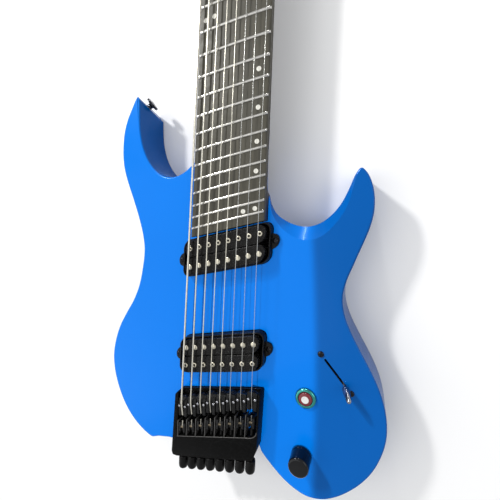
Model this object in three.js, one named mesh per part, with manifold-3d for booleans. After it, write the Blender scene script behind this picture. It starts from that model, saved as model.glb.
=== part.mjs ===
// Headless eight-string multiscale electric guitar, lying on its flat back.
// Millimetres. +Z points out of the front face, +Y runs along the neck to the
// head, +X points to the treble side. The origin lies on the centre line of the
// flat back, under the saddle of the lowest string.
import * as THREE from 'three';
import { mergeVertices } from 'three/addons/utils/BufferGeometryUtils.js';
import Module from 'manifold-3d';

const wasm = await Module();
wasm.setup();

// ---------- driving dimensions ----------
const GAP = 0.3;                 // clearance between touching pieces
const BODY_T = 40;               // body thickness, back at z = 0
const SCALE_BASS = 685.8;        // 27 in
const SCALE_TREBLE = 647.7;      // 25.5 in
const PERP_FRET = 6;             // the fret that stands square to the centre line
const SADDLE_OFFSET = (SCALE_BASS - SCALE_TREBLE) * 2 ** (-PERP_FRET / 12);
const N_STRINGS = 8;
const BRIDGE_SPACING = 10.29;
const NUT_SPACING = 7.09;
const BRIDGE_X = -1.5;           // bridge centre
const STRING_Z_BRIDGE = 55;
const FRET_TOP = 52;
const BOARD_TOP = 50.9;
const BOARD_BOTTOM = 45.2;
const NECK_TOP = 44.9;
const NECK_BACK_NUT = 31.5;
const NECK_BACK_HEEL = 29.5;
const WIDTH_24 = 71.3;
const WIDTH_NUT = 55.1;
const TENON_BOTTOM = 18;
const STRING_R = [0.94, 0.72, 0.56, 0.42, 0.34, 0.28, 0.24, 0.22];
const LEAD = 0.8;                // tuner screw lead per turn

// ---------- helpers ----------
const V3 = (x, y, z) => new THREE.Vector3(x, y, z);
const group = new THREE.Group();

function solid(geometry) {
  const g = geometry.index ? geometry.clone() : geometry.clone();
  g.deleteAttribute('normal');
  g.deleteAttribute('uv');
  const m = mergeVertices(g, 1e-4);
  const tri = Array.from(m.index.array);
  const keep = [];
  for (let i = 0; i < tri.length; i += 3) {
    const [a, b, c] = [tri[i], tri[i + 1], tri[i + 2]];
    if (a !== b && b !== c && c !== a) keep.push(a, b, c);
  }
  return new wasm.Manifold(new wasm.Mesh({
    numProp: 3,
    vertProperties: new Float32Array(m.attributes.position.array),
    triVerts: new Uint32Array(keep),
  }));
}

function toGeometry(manifold) {
  const out = manifold.getMesh();
  const n = out.numProp;
  const count = out.vertProperties.length / n;
  const pos = new Float32Array(count * 3);
  for (let i = 0; i < count; i++) {
    for (let k = 0; k < 3; k++) pos[i * 3 + k] = out.vertProperties[i * n + k];
  }
  const g = new THREE.BufferGeometry();
  g.setAttribute('position', new THREE.BufferAttribute(pos, 3));
  g.setIndex(Array.from(out.triVerts));
  g.computeVertexNormals();
  return g;
}

function add(name, shape, color, roughness, metalness) {
  const geometry = shape.isBufferGeometry ? shape : toGeometry(shape);
  const mesh = new THREE.Mesh(geometry, new THREE.MeshStandardMaterial({ color, roughness, metalness }));
  mesh.name = name;
  group.add(mesh);
  return mesh;
}

function shapeOf(points, holes = []) {
  const s = new THREE.Shape(points.map(([x, y]) => new THREE.Vector2(x, y)));
  for (const h of holes) s.holes.push(new THREE.Path(h.map(([x, y]) => new THREE.Vector2(x, y))));
  return s;
}

// Upright prism between two heights.
function prism(points, z0, z1, holes = []) {
  const g = new THREE.ExtrudeGeometry(shapeOf(points, holes), { depth: z1 - z0, bevelEnabled: false, curveSegments: 8 });
  g.translate(0, 0, z0);
  return g;
}

function box(x0, x1, y0, y1, z0, z1) {
  const g = new THREE.BoxGeometry(x1 - x0, y1 - y0, z1 - z0);
  g.translate((x0 + x1) / 2, (y0 + y1) / 2, (z0 + z1) / 2);
  return g;
}

// Turned piece: profile of [radius, height] that starts and ends on the axis.
function turned(profile, segments = 20) {
  return new THREE.LatheGeometry(profile.map(([r, h]) => new THREE.Vector2(r, h)), segments);
}

// Lathe geometry stands on Y; these lay its axis along a direction.
function along(geometry, dir, at) {
  const q = new THREE.Quaternion().setFromUnitVectors(V3(0, 1, 0), dir.clone().normalize());
  geometry.applyQuaternion(q);
  geometry.translate(at.x, at.y, at.z);
  return geometry;
}

function rod(r, a, b, segments = 12) {
  const len = a.distanceTo(b);
  const g = new THREE.CylinderGeometry(r, r, len, segments);
  g.translate(0, len / 2, 0);
  return along(g, b.clone().sub(a), a);
}

// Skin between equal-count closed sections, capped flat at both ends.
function loft(sections) {
  const n = sections[0].length;
  const pos = [];
  const idx = [];
  for (const s of sections) for (const p of s) pos.push(p.x, p.y, p.z);
  for (let k = 0; k + 1 < sections.length; k++) {
    for (let i = 0; i < n; i++) {
      const a = k * n + i;
      const b = k * n + ((i + 1) % n);
      idx.push(a, b, b + n, a, b + n, a + n);
    }
  }
  const cap = (s) => {
    const c = new THREE.Vector3();
    s.forEach((p) => c.add(p));
    return c.multiplyScalar(1 / n);
  };
  const c0 = cap(sections[0]);
  const c1 = cap(sections[sections.length - 1]);
  const i0 = pos.length / 3;
  pos.push(c0.x, c0.y, c0.z, c1.x, c1.y, c1.z);
  const last = (sections.length - 1) * n;
  for (let i = 0; i < n; i++) {
    idx.push(i0, (i + 1) % n, i);
    idx.push(i0 + 1, last + i, last + ((i + 1) % n));
  }
  const g = new THREE.BufferGeometry();
  g.setAttribute('position', new THREE.BufferAttribute(new Float32Array(pos), 3));
  g.setIndex(idx);
  let vol = 0;
  for (let i = 0; i < idx.length; i += 3) {
    const [a, b, c] = [0, 1, 2].map((k) => V3(pos[idx[i + k] * 3], pos[idx[i + k] * 3 + 1], pos[idx[i + k] * 3 + 2]));
    vol += a.dot(b.clone().cross(c));
  }
  if (vol < 0) {
    for (let i = 0; i < idx.length; i += 3) [idx[i + 1], idx[i + 2]] = [idx[i + 2], idx[i + 1]];
    g.setIndex(idx);
  }
  return g;
}

function smooth(points, count, closed = false) {
  const c = new THREE.CatmullRomCurve3(points.map(([x, y]) => V3(x, y, 0)), closed, 'centripetal');
  return c.getSpacedPoints(count).slice(0, closed ? count : count + 1).map((p) => [p.x, p.y]);
}

const lerp = (a, b, t) => a + (b - a) * t;
const halfWidth = (y) => lerp(WIDTH_24, WIDTH_NUT, (y - 180) / (SCALE_BASS - 180)) / 2;
const stringX = (i, y) => {
  const s = (SADDLE_OFFSET * i) / 7;
  const n = nutY(i);
  return lerp(BRIDGE_X - 3.5 * BRIDGE_SPACING + BRIDGE_SPACING * i, -3.5 * NUT_SPACING + NUT_SPACING * i, (y - s) / (n - s));
};
const saddleX = (i) => BRIDGE_X + (i - 3.5) * BRIDGE_SPACING;
const saddleY = (i) => (SADDLE_OFFSET * i) / 7;
const nutY = (i) => lerp(SCALE_BASS, SADDLE_OFFSET + SCALE_TREBLE, i / 7);
const nutZ = (i) => FRET_TOP + 0.6 + STRING_R[i];

// Fret n as a straight line through the outer strings, evaluated at x.
function fretY(n, x) {
  const k = 2 ** (-n / 12);
  const yb = SCALE_BASS * k;
  const yt = SADDLE_OFFSET + SCALE_TREBLE * k;
  const xb = stringX(0, yb);
  const xt = stringX(7, yt);
  return yb + ((yt - yb) * (x - xb)) / (xt - xb);
}

// ---------- body ----------
const BASS_EDGE = [[-111.2, 303.0], [-114.6, 298.2], [-118.3, 291.4], [-124.1, 280.4], [-128.1, 268], [-129.6, 255.7], [-129.7, 242.8], [-128.0, 230.8],
  [-123.4, 217], [-114.8, 197], [-107.0, 177.5], [-101.6, 160], [-99.6, 146], [-101.0, 129.5], [-106.0, 106], [-113.6, 88.5], [-124, 71.5], [-132.8, 55],
  [-139.0, 36], [-141.0, 20], [-139.4, 4], [-134.6, -12], [-126.6, -28.5], [-117, -41.5], [-106.5, -51], [-95.5, -57.8], [-86.2, -61.6]];
const REAR_NOTCH = [[-83.5, -61.6], [-76, -58.2], [-62.1, -54.9], [-57.0, -54.3], [-50.5, -51.6], [-45.6, -46.2], [-42.6, -41], [-38.6, -39.1],
  [32.2, -18.8], [36.4, -21], [38.4, -27.4], [41.6, -34.6]];
const TREBLE_EDGE = [[46.4, -39.6], [56.8, -48.6], [66, -55.2], [77.4, -60.6], [87, -62.6], [98.3, -60.8], [107.5, -56], [116.5, -48.8], [128, -36], [137, -21.5],
  [143, -5], [145.6, 11], [144.6, 26.5], [141, 41], [135.6, 54], [128.4, 67], [119.5, 81.5], [110.4, 97.6], [105.2, 111], [103.6, 123], [105.4, 135.5],
  [109.8, 149.5], [116.3, 169.2], [119.7, 180.6], [121.5, 192], [121.2, 203.2], [118.7, 214], [114.9, 221.9], [110.9, 226.6]];
const TREBLE_CUT = [[108.6, 226.6], [105.5, 221.2], [101.2, 209.4], [96.6, 199.2], [90.8, 191], [84.6, 185], [76.8, 180.4], [68.2, 178.3], [60, 179.2], [50.8, 182.6],
  [42.4, 188.4], [37.9, 195.6], [36.3, 203.5]];
const BASS_CUT = [[-38.5, 236.8], [-45.7, 230.4], [-53.2, 224.9], [-61, 221.6], [-70.2, 220.6], [-79.4, 222.8], [-88, 228.4], [-96.7, 238.4], [-103.2, 251.2],
  [-107.0, 265.6], [-108.4, 280.7], [-108.5, 291], [-108.7, 300.6]];
const outline = [
  ...smooth(BASS_EDGE, 52), ...REAR_NOTCH, ...smooth(TREBLE_EDGE, 54), ...smooth(TREBLE_CUT, 24), ...smooth(BASS_CUT, 24),
].filter(([x, y], i, all) => {
  const [px, py] = all[(i + all.length - 1) % all.length];
  return Math.hypot(x - px, y - py) > 0.4;
});
const EDGE = 1.4;
// Moves each point of a closed outline outward by d along its local normal.
const grow = (pts, d) => {
  const n = pts.length;
  return pts.map(([x, y], i) => {
    const a = pts[(i + n - 1) % n];
    const b = pts[(i + 1) % n];
    const l = Math.hypot(b[0] - a[0], b[1] - a[1]);
    return [x + (d * (b[1] - a[1])) / l, y - (d * (b[0] - a[0])) / l];
  });
};
// Stack of equal-count outlines at rising heights, with flat ends.
function stack(levels) {
  const n = levels[0][0].length;
  const pos = [];
  const idx = [];
  for (const [pts, z] of levels) for (const [x, y] of pts) pos.push(x, y, z);
  for (let k = 0; k + 1 < levels.length; k++) {
    for (let i = 0; i < n; i++) {
      const a = k * n + i;
      const b = k * n + ((i + 1) % n);
      idx.push(a, b, b + n, a, b + n, a + n);
    }
  }
  const flat = (pts) => THREE.ShapeUtils.triangulateShape(pts.map(([x, y]) => new THREE.Vector2(x, y)), []);
  for (const [a, b, c] of flat(levels[0][0])) idx.push(c, b, a);
  const last = (levels.length - 1) * n;
  for (const [a, b, c] of flat(levels[levels.length - 1][0])) idx.push(last + a, last + b, last + c);
  const g = new THREE.BufferGeometry();
  g.setAttribute('position', new THREE.BufferAttribute(new Float32Array(pos), 3));
  g.setIndex(idx);
  return g;
}
const bodyGeometry = stack([[grow(outline, -EDGE), 0], [outline, EDGE], [outline, BODY_T - EDGE], [grow(outline, -EDGE), BODY_T]]);
let body = solid(bodyGeometry);

// Bevel along the treble cutaway: face line, wall line, depth.
const BEVEL = [
  [[37.0, 199], [34.8, 207], 2.5], [[39.0, 190.2], [37.0, 198.6], 4], [[43.6, 182], [41.8, 189.4], 6], [[50.2, 175], [49.0, 183.6], 7.6], [[60.6, 168.8], [60.0, 179.2], 9],
  [[69.4, 167.2], [68.6, 178.3], 9.4], [[77.8, 168.6], [76.0, 180.1], 9], [[85.2, 173], [81.6, 183.0], 8.4], [[91.6, 179.8], [86.6, 186.8], 7.6], [[97.6, 188.6], [92.2, 192.8], 6.4],
  [[102.2, 199], [97.4, 200.6], 5], [[105.2, 213], [102.8, 213.4], 3], [[107.4, 225.4], [106.9, 225.6], 1.2], [[108.4, 230.5], [108.0, 230.7], 0.6],
];
const bevelSections = BEVEL.map(([q, p, d]) => {
  const dx = p[0] - q[0];
  const dy = p[1] - q[1];
  return [
    V3(q[0] - dx * 0.25, q[1] - dy * 0.25, BODY_T + d * 0.25), V3(p[0] + dx * 0.35, p[1] + dy * 0.35, BODY_T - d * 1.35),
    V3(p[0] + dx * 0.35, p[1] + dy * 0.35, BODY_T + 6), V3(q[0] - dx * 0.25, q[1] - dy * 0.25, BODY_T + 6),
  ];
});
body = body.subtract(solid(loft(bevelSections)));

// Sculpted heel: below the bevel the cutaway wall leans in towards the back,
// and the same cut thins the treble side of the neck's tenon.
// Each station: point on the wall, point under it near the back, outward way.
const HEEL = [
  [[35.4, 268, 44.9], [20.0, 268], [1, 0]], [[34.75, 246, 44.9], [19.2, 247], [1, 0]], [[35.05, 222, 44.9], [20.0, 223], [1, 0.1]], [[35.45, 209, 44.4], [21.5, 210], [0.98, 0.2]],
  [[36.3, 203.5, 38.6], [23.0, 204.5], [0.97, 0.25]], [[37.0, 199.2, 36.8], [25.0, 200], [0.95, 0.3]], [[37.9, 195.6, 36.2], [27.4, 196.2], [0.93, 0.36]], [[42.4, 188.4, 34.4], [31.6, 189.1], [0.78, 0.62]],
  [[50.8, 182.6, 32.6], [42.1, 182.1], [0.5, 0.87]], [[60, 179.2, 31.2], [52.9, 178.5], [0.2, 0.98]], [[68.2, 178.3, 30.8], [62.8, 177.5], [0, 1]], [[73.4, 179.4, 30.8], [72, 179.6], [-0.2, 0.98]],
];
const heelCut = solid(loft(HEEL.map(([t, b, o]) => [V3(...t), V3(t[0] + 7 * o[0], t[1] + 7 * o[1], t[2]), V3(t[0] + 7 * o[0], t[1] + 7 * o[1], -3), V3(b[0], b[1], -3)])));
body = body.subtract(heelCut);

// Slanted facet at the tip of the upper horn, the seat of its strap button.
const SEAT_N = V3(0.753, 0.635, -0.175).normalize();
const SEAT = V3(-110.75, 297.39, 23);
const seatU = V3(-0.071, -0.186, -0.98).addScaledVector(SEAT_N, -V3(-0.071, -0.186, -0.98).dot(SEAT_N)).normalize();
const seatV = SEAT_N.clone().cross(seatU);
const seatRing = (h) => [[-1, -1], [1, -1], [1, 1], [-1, 1]].map(([a, b]) => SEAT.clone().addScaledVector(seatU, 45 * a).addScaledVector(seatV, 15 * b).addScaledVector(SEAT_N, h));
body = body.subtract(solid(loft([seatRing(0), seatRing(25)])));

// Neck pocket, open at the cutaway end.
const pocketEnd = (x) => fretY(24, x) - 7.6;
const pocket = [
  [-halfWidth(160) - GAP, pocketEnd(-36) - GAP], [halfWidth(176) + GAP, pocketEnd(36) - GAP], [halfWidth(260) + GAP, 262], [-halfWidth(260) - GAP, 262],
];
body = body.subtract(solid(prism(pocket, TENON_BOTTOM - GAP, BODY_T + 8)));

// Pickup routs: slanted, with ends along the strings.
const PICKUPS = {
  neck: { x: -1.2, y: 152.6, slope: Math.tan(THREE.MathUtils.degToRad(15)), top: 51, half: 44.5 },
  bridge: { x: -1.6, y: 55.4, slope: Math.tan(THREE.MathUtils.degToRad(14)), top: 52, half: 44.5 },
};
// The housing sits a little to the bass side of its pole pieces.
const shifted = (p, d) => ({ ...p, x: p.x + d, y: p.y + d * p.slope });
const slanted = (p, hx, hy, r = 0) => {
  if (!r) return [[-hx, -hy], [hx, -hy], [hx, hy], [-hx, hy]].map(([x, y]) => [p.x + x, p.y + y + p.slope * x]);
  const pts = [];
  for (const [sx, sy, a0] of [[1, -1, -90], [1, 1, 0], [-1, 1, 90], [-1, -1, 180]]) {
    for (let k = 0; k <= 3; k++) {
      const a = THREE.MathUtils.degToRad(a0 + k * 30);
      const x = sx * (hx - r) + r * Math.cos(a);
      const y = sy * (hy - r) + r * Math.sin(a);
      pts.push([p.x + x, p.y + y + p.slope * x]);
    }
  }
  return pts;
};
for (const p of Object.values(PICKUPS)) {
  body = body.subtract(solid(prism(slanted(shifted(p, -0.9), 44.1, 18.8, 8.4), 22, BODY_T + 5)));
}

// Control cavity from the back, with a shallow rebate for the cover.
const CAVITY = smooth([[68, -43], [90, -50], [110, -39], [125, -15], [131, 10], [128, 34], [117, 58], [103, 79], [90, 86], [77, 78], [68, 55], [64, 20], [64, -20]], 40, true);
body = body.subtract(solid(prism(CAVITY, -2, 34)));
body = body.subtract(solid(prism(grow(CAVITY, 5), -2, 3)));

// Holes for the volume pot, the push button, the selector slot and the jack.
const KNOB = V3(79.6, -24.3, 0);
const BUTTON = V3(79.7, 29.5, 0);
const SWITCH = V3(102.9, 57.2, 0);
const SWITCH_DIR = V3(0.682, -0.731, 0).normalize();
const SWITCH_AXIS = V3(0.731, 0.682, 0).normalize();
const SWITCH_PIVOT_Z = 14;
const SWITCH_ANGLE = 24;
const JACK = V3(0, 15, 19);
body = body.subtract(solid(rod(5.1, V3(KNOB.x, KNOB.y, 30), V3(KNOB.x, KNOB.y, 44), 16)));
body = body.subtract(solid(rod(8.0, V3(BUTTON.x, BUTTON.y, 30), V3(BUTTON.x, BUTTON.y, 44), 20)));
const turnedBox = (lx, ly, z0, z1, at, dir) => {
  const g = new THREE.BoxGeometry(lx, ly, z1 - z0);
  g.rotateZ(Math.atan2(dir.y, dir.x));
  g.translate(at.x, at.y, (z0 + z1) / 2);
  return g;
};
body = body.subtract(solid(turnedBox(29, 2.0, 30, 44, SWITCH, SWITCH_DIR)));
body = body.subtract(solid(rod(5.1, V3(120, JACK.y, JACK.z), V3(150, JACK.y, JACK.z), 16)));
body = body.subtract(solid(rod(10.6, V3(142.6, JACK.y, JACK.z), V3(152, JACK.y, JACK.z), 28)));

// Recess for the neck plate in the back.
body = body.subtract(solid(box(-26.3, 26.3, 167.7, 200.3, -2, 2.6)));
add('body', body, 0x0a78f0, 0.42, 0.0);

// ---------- neck, truss rod, fretboard, nut ----------
const HEAD_LEN = 40;
const neckProfile = (y, bottom) => {
  const w = halfWidth(y);
  const pts = [V3(w, y, NECK_TOP), V3(w - 0.35, y, NECK_TOP - 1.1)];
  for (let k = 1; k < 12; k++) {
    const a = (Math.PI * k) / 12;
    pts.push(V3((w - 0.35) * Math.cos(a), y, NECK_TOP - 1.1 - (NECK_TOP - 1.1 - bottom) * Math.sin(a)));
  }
  pts.push(V3(-w + 0.35, y, NECK_TOP - 1.1), V3(-w, y, NECK_TOP));
  return pts;
};
const tenonProfile = (y, bottom, w = halfWidth(y)) => {
  const pts = [V3(w, y, NECK_TOP), V3(w, y, NECK_TOP - 2.2)];
  for (let k = 1; k < 12; k++) {
    const t = k / 12;
    pts.push(t < 0.34 ? V3(w, y, lerp(NECK_TOP - 2.2, bottom + 3, t / 0.34)) : t > 0.66 ? V3(-w, y, lerp(bottom + 3, NECK_TOP - 2.2, (t - 0.66) / 0.34))
      : V3(lerp(w - 2, -w + 2, (t - 0.34) / 0.32), y, bottom));
  }
  pts.push(V3(-w, y, NECK_TOP - 2.2), V3(-w, y, NECK_TOP));
  return pts;
};
// The tenon's inner end is cut on the same slant as the fretboard end.
const tenonCut = prism([[-60, pocketEnd(-60)], [60, pocketEnd(60)], [60, 100], [-60, 100]].reverse(), 0, 60);
const headY = (x, d = 0) => nutY(0) + ((nutY(7) - nutY(0)) * (x + 24.8)) / 49.6 + d;
let neck = solid(loft([
  tenonProfile(140, TENON_BOTTOM, halfWidth(150)), tenonProfile(236, TENON_BOTTOM), tenonProfile(243, TENON_BOTTOM + 2), neckProfile(262, NECK_BACK_HEEL - 1.6), neckProfile(290, NECK_BACK_HEEL),
  neckProfile(500, 30.6), neckProfile(655, NECK_BACK_NUT),
  neckProfile(690, NECK_BACK_NUT - 0.8), tenonProfile(704, 29.6, 28.5), tenonProfile(755, 29.6, 27.5),
]));
neck = neck.subtract(solid(tenonCut)).subtract(heelCut);
const headCut = prism([[-50, headY(-50, HEAD_LEN)], [50, headY(50, HEAD_LEN)], [50, 800], [-50, 800]], 0, 60);
const headStep = prism([[-50, headY(-50, 5.2)], [50, headY(50, 5.2)], [50, 800], [-50, 800]], 42.6, 60);
neck = neck.subtract(solid(headCut)).subtract(solid(headStep));
neck = neck.subtract(solid(box(-3.4, 3.4, 186, 664, 34.7, 50)));
add('neck', neck, 0x2b2522, 0.5, 0.0);

let trussRod = solid(box(-3, 3, 187, 662, 35.1, 44.5));
trussRod = trussRod.subtract(solid(box(-4, 4, 200, 650, 39.2, 40.4)));
add('truss_rod', trussRod, 0x8d9094, 0.35, 0.9);

const boardEnd = (x) => fretY(24, x) - 8.2;
const boardPlan = [[-halfWidth(165), boardEnd(-halfWidth(165))], [halfWidth(182), boardEnd(halfWidth(182))], [halfWidth(676), headY(halfWidth(676), -0.4)], [-halfWidth(690), headY(-halfWidth(690), -0.4)]];
let board = solid(prism(boardPlan, BOARD_BOTTOM, BOARD_TOP));
for (let n = 1; n <= 24; n++) {
  const k = 2 ** (-n / 12);
  const w = halfWidth((SCALE_BASS * k + SADDLE_OFFSET + SCALE_TREBLE * k) / 2) - 0.4;
  const section = (x) => {
    const y = fretY(n, x);
    const s = [[-1.25, -0.5], [1.25, -0.5], [1.25, 0.15], [0.75, 0.85], [0, 1.1], [-0.75, 0.85], [-1.25, 0.15]];
    return s.map(([u, v]) => V3(x, y + u, BOARD_TOP + v));
  };
  board = board.add(solid(loft([section(-w), section(w)])));
}
add('fretboard', board, 0x2a2624, 0.55, 0.0);

const nutPlan = [[-27.4, headY(-27.4, 0)], [27.4, headY(27.4, 0)], [27.4, headY(27.4, 4.4)], [-27.4, headY(-27.4, 4.4)]];
add('nut', solid(prism(nutPlan, NECK_TOP + GAP, 51.9)), 0x141414, 0.4, 0.0);

// Head block that clamps the plain ends of the strings.
let head = solid(prism([[-27, headY(-27, 9)], [27, headY(27, 9)], [26.6, headY(26.6, 34)], [-26.6, headY(-26.6, 34)]], 42.9, 54));
for (let i = 0; i < N_STRINGS; i++) {
  const x = -24.8 + NUT_SPACING * i;
  head = head.subtract(solid(rod(STRING_R[i] + 0.6, V3(x, headY(x, 4), 50.6), V3(x, headY(x, 24), 50.6), 8)));
}
add('headpiece', head, 0x1a1a1b, 0.45, 0.7);

// ---------- strings ----------
const stringColour = 0xb9bcc0;
for (let i = 0; i < N_STRINGS; i++) {
  const x = saddleX(i);
  const y = saddleY(i);
  const xn = -24.8 + NUT_SPACING * i;
  const pts = [
    V3(x, y - 13.5, 52.2), V3(x, y - 5, 54.0), V3(x, y, STRING_Z_BRIDGE), V3(xn, nutY(i) + 2, nutZ(i)), V3(xn, nutY(i) + 5, nutZ(i) - 0.2), V3(xn, nutY(i) + 8, 50.6), V3(xn, nutY(i) + 18, 50.6),
  ];
  const path = new THREE.CurvePath();
  for (let k = 0; k + 1 < pts.length; k++) path.add(new THREE.LineCurve3(pts[k], pts[k + 1]));
  // One eight-sided ring at each bend keeps the wire straight between them.
  const rings = pts.map((p, k) => {
    const d = pts[Math.min(k + 1, pts.length - 1)].clone().sub(pts[Math.max(k - 1, 0)]).normalize();
    const side = V3(1, 0, 0).addScaledVector(d, -d.x).normalize();
    const up = side.clone().cross(d);
    return Array.from({ length: 8 }, (_, j) => {
      const a = (j * Math.PI) / 4;
      return p.clone().addScaledVector(side, STRING_R[i] * Math.cos(a)).addScaledVector(up, STRING_R[i] * Math.sin(a));
    });
  });
  add(`string_${i + 1}`, solid(loft(rings)), stringColour, 0.3, 0.95);
}

// ---------- bridge base ----------
const frontY = (x) => 19.4 + 0.246 * x;
const blockFrontY = (x) => -24.1 + 0.302 * x;
const rearY = (x) => -46.5 + 0.287 * x;
const BRIDGE_TOP = 53;
const baseOutline = [
  [-46.4, frontY(-46.4) - 2], [-44.8, frontY(-44.8)], [40.8, frontY(40.8)], [41.8, frontY(41.8) - 2], [41.2, -24.2], [37.4, rearY(37.4)], [-42.6, rearY(-42.6)], [-47.4, rearY(-47.4) + 1.2], [-49.0, rearY(-49.0) + 5],
];
let base = solid(prism(baseOutline, BODY_T + GAP, BRIDGE_TOP));
const innerL = -42.9;
const innerR = 39.8;
// Trough between the side rails, and the window behind the treble saddles.
base = base.subtract(solid(prism([[innerL, frontY(innerL) + 30], [innerL, blockFrontY(innerL)], [innerR - 2, blockFrontY(innerR - 2)], [innerR, blockFrontY(innerR) + 2], [innerR, frontY(innerR) + 30]].reverse(), 44, 60)));
const windowFront = (x) => -15.6 + 0.374 * (x - saddleX(0)) + 0;
base = base.subtract(solid(prism([[22, windowFront(22)], [22, blockFrontY(22) + 0.5], [innerR - 1.5, blockFrontY(innerR - 1.5) + 0.5], [innerR - 1, windowFront(innerR - 1)]].reverse(), 36, 60)));
const TUNER_Z = 48;
for (let i = 0; i < N_STRINGS; i++) {
  base = base.subtract(solid(rod(2.1, V3(saddleX(i), rearY(saddleX(i)) - 4, TUNER_Z), V3(saddleX(i), blockFrontY(saddleX(i)) + 4, TUNER_Z), 10)));
}
add('bridge_base', base, 0x121213, 0.5, 0.6);

// ---------- saddles, carriages, tuner knobs ----------
for (let i = 0; i < N_STRINGS; i++) {
  const x = saddleX(i);
  const y = saddleY(i);
  // Saddle: side profile across its width, with a slot behind the string's bearing point.
  const w = 4.75;
  const front = Math.min(y + 4.2, frontY(x) - 1.0);
  const sideProfile = [[front, 44.3], [front, 50], [y + 2.2, 52.8], [y - 1.2, 53.1], [y - 15.2, 52.6], [y - 15.2, 44.3]];
  let saddle = solid(loft([sideProfile.map(([a, b]) => V3(x - w, a, b)), sideProfile.map(([a, b]) => V3(x + w, a, b))]));
  const slot = 1.6;
  saddle = saddle.subtract(solid(box(x - slot, x + slot, y - 20, y - 1.8, 50.2, 60)));
  add(`saddle_${i + 1}`, saddle, 0x18181a, 0.4, 0.6);

  // Carriage: block on the tuner screw that pulls the string end.
  const cFront = y - 22;
  const cRear = Math.max(cFront - 9, blockFrontY(x) + 4.2);
  let carriage = solid(box(x - 3.5, x + 3.5, cRear, cFront, 44.4, 53.4));
  carriage = carriage.subtract(solid(rod(2.1, V3(x, cRear - 3, TUNER_Z), V3(x, cFront + 3, TUNER_Z), 10)));
  carriage = carriage.subtract(solid(box(x - 1.4, x + 1.4, cRear - 3, cFront + 3, 51.0, 60)));
  add(`tuner_carriage_${i + 1}`, carriage, 0x1c1c1e, 0.35, 0.7);

  // Knob with its screw. The knob's face follows the slanted rear of the block.
  const kFront = rearY(x) - 1.6;
  const kLen = 13.2;
  const shaftEnd = cFront - 0.6;
  const knob = turned([
    [0, 0], [3.6, 0], [4.5, 1.0], [4.7, 3], [4.7, kLen - 2], [4.0, kLen - 0.3], [3.0, kLen], [1.8, kLen], [1.8, kLen + (shaftEnd - kFront)], [0, kLen + (shaftEnd - kFront)],
  ], 16);
  add(`tuner_knob_${i + 1}`, solid(along(knob, V3(0, 1, 0), V3(x, kFront - kLen, TUNER_Z))), 0x2c2c2e, 0.5, 0.5);
}

// ---------- pickups ----------
for (const [name, p] of Object.entries(PICKUPS)) {
  // Housing: tray in the rout, with an ear at each end on the body face.
  const h = shifted(p, -0.9);
  let tray = solid(prism(slanted(h, 43.5, 18.2, 8), 30, p.top - 4.3));
  tray = tray.subtract(solid(prism(slanted(h, 42.1, 16.8, 6.8), 31.6, 60)));
  const ear = (s) => {
    const c = p.x - 1.3 + s * 45.2;
    return [[p.x + s * 38, -7.6], [c, -6.6], [c + s * 4, -4.4], [c + s * 5.6, 0], [c + s * 4, 4.4], [c, 6.6], [p.x + s * 38, 7.6]].map(([a, b]) => [a, p.y + b + p.slope * (a - p.x)]);
  };
  let ears = solid(prism(ear(1).sort(() => 0), BODY_T + GAP, BODY_T + GAP + 2.2));
  tray = tray.add(ears);
  const left = ear(-1).reverse();
  tray = tray.add(solid(prism(left, BODY_T + GAP, BODY_T + GAP + 2.2)));
  tray = tray.subtract(solid(prism(slanted(h, 42.1, 16.8, 6.8), 31.6, 60)));
  add(`${name}_pickup_base`, tray, 0x111112, 0.45, 0.0);
  // Two bobbins side by side in the tray.
  for (const [tag, s] of [['screw', name === 'neck' ? 1 : -1], ['slug', name === 'neck' ? -1 : 1]]) {
    const q = { x: p.x, y: p.y - 8.72 + (s > 0 ? 17.44 : 0), slope: p.slope };
    add(`${name}_pickup_${tag}_bobbin`, solid(prism(slanted({ ...q, y: p.y + s * 8.42 }, 39.4, 8.15, 7.6), 32, p.top)), 0x0e0e0f, 0.4, 0.0);
  }
}

// ---------- volume control ----------
const ring = (r0, r1, z0, z1, at, seg = 20) => {
  const outer = rod(r1, V3(at.x, at.y, z0), V3(at.x, at.y, z1), seg);
  const inner = rod(r0, V3(at.x, at.y, z0 - 1), V3(at.x, at.y, z1 + 1), seg);
  return solid(outer).subtract(solid(inner));
};
let pot = solid(rod(12, V3(KNOB.x, KNOB.y, 22), V3(KNOB.x, KNOB.y, 32.4), 24));
pot = pot.add(solid(rod(4.7, V3(KNOB.x, KNOB.y, 30), V3(KNOB.x, KNOB.y, 43), 16)));
pot = pot.add(solid(rod(6.8, V3(KNOB.x, KNOB.y, BODY_T + GAP), V3(KNOB.x, KNOB.y, 42.4), 6)));
pot = pot.subtract(solid(rod(3.4, V3(KNOB.x, KNOB.y, 25), V3(KNOB.x, KNOB.y, 50), 16)));
add('volume_pot', pot, 0x9a9ca0, 0.4, 0.85);
add('volume_shaft', solid(rod(3.0, V3(KNOB.x, KNOB.y, 25.5), V3(KNOB.x, KNOB.y, 53.4), 16)), 0xa8aaad, 0.35, 0.9);
let knob = solid(along(turned([[0, 0], [8.7, 0], [9.2, 0.6], [9.2, 2.2], [8.9, 3.0], [8.9, 14.4], [8.0, 15.6], [0, 15.6]], 32), V3(0, 0, 1), V3(KNOB.x, KNOB.y, 41)));
knob = knob.subtract(solid(rod(3.3, V3(KNOB.x, KNOB.y, 38), V3(KNOB.x, KNOB.y, 53.7), 16)));
knob = knob.subtract(solid(rod(7.4, V3(KNOB.x, KNOB.y, 38), V3(KNOB.x, KNOB.y, 43.4), 16)));
add('volume_knob', knob, 0x1b1d20, 0.2, 0.9);

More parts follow.
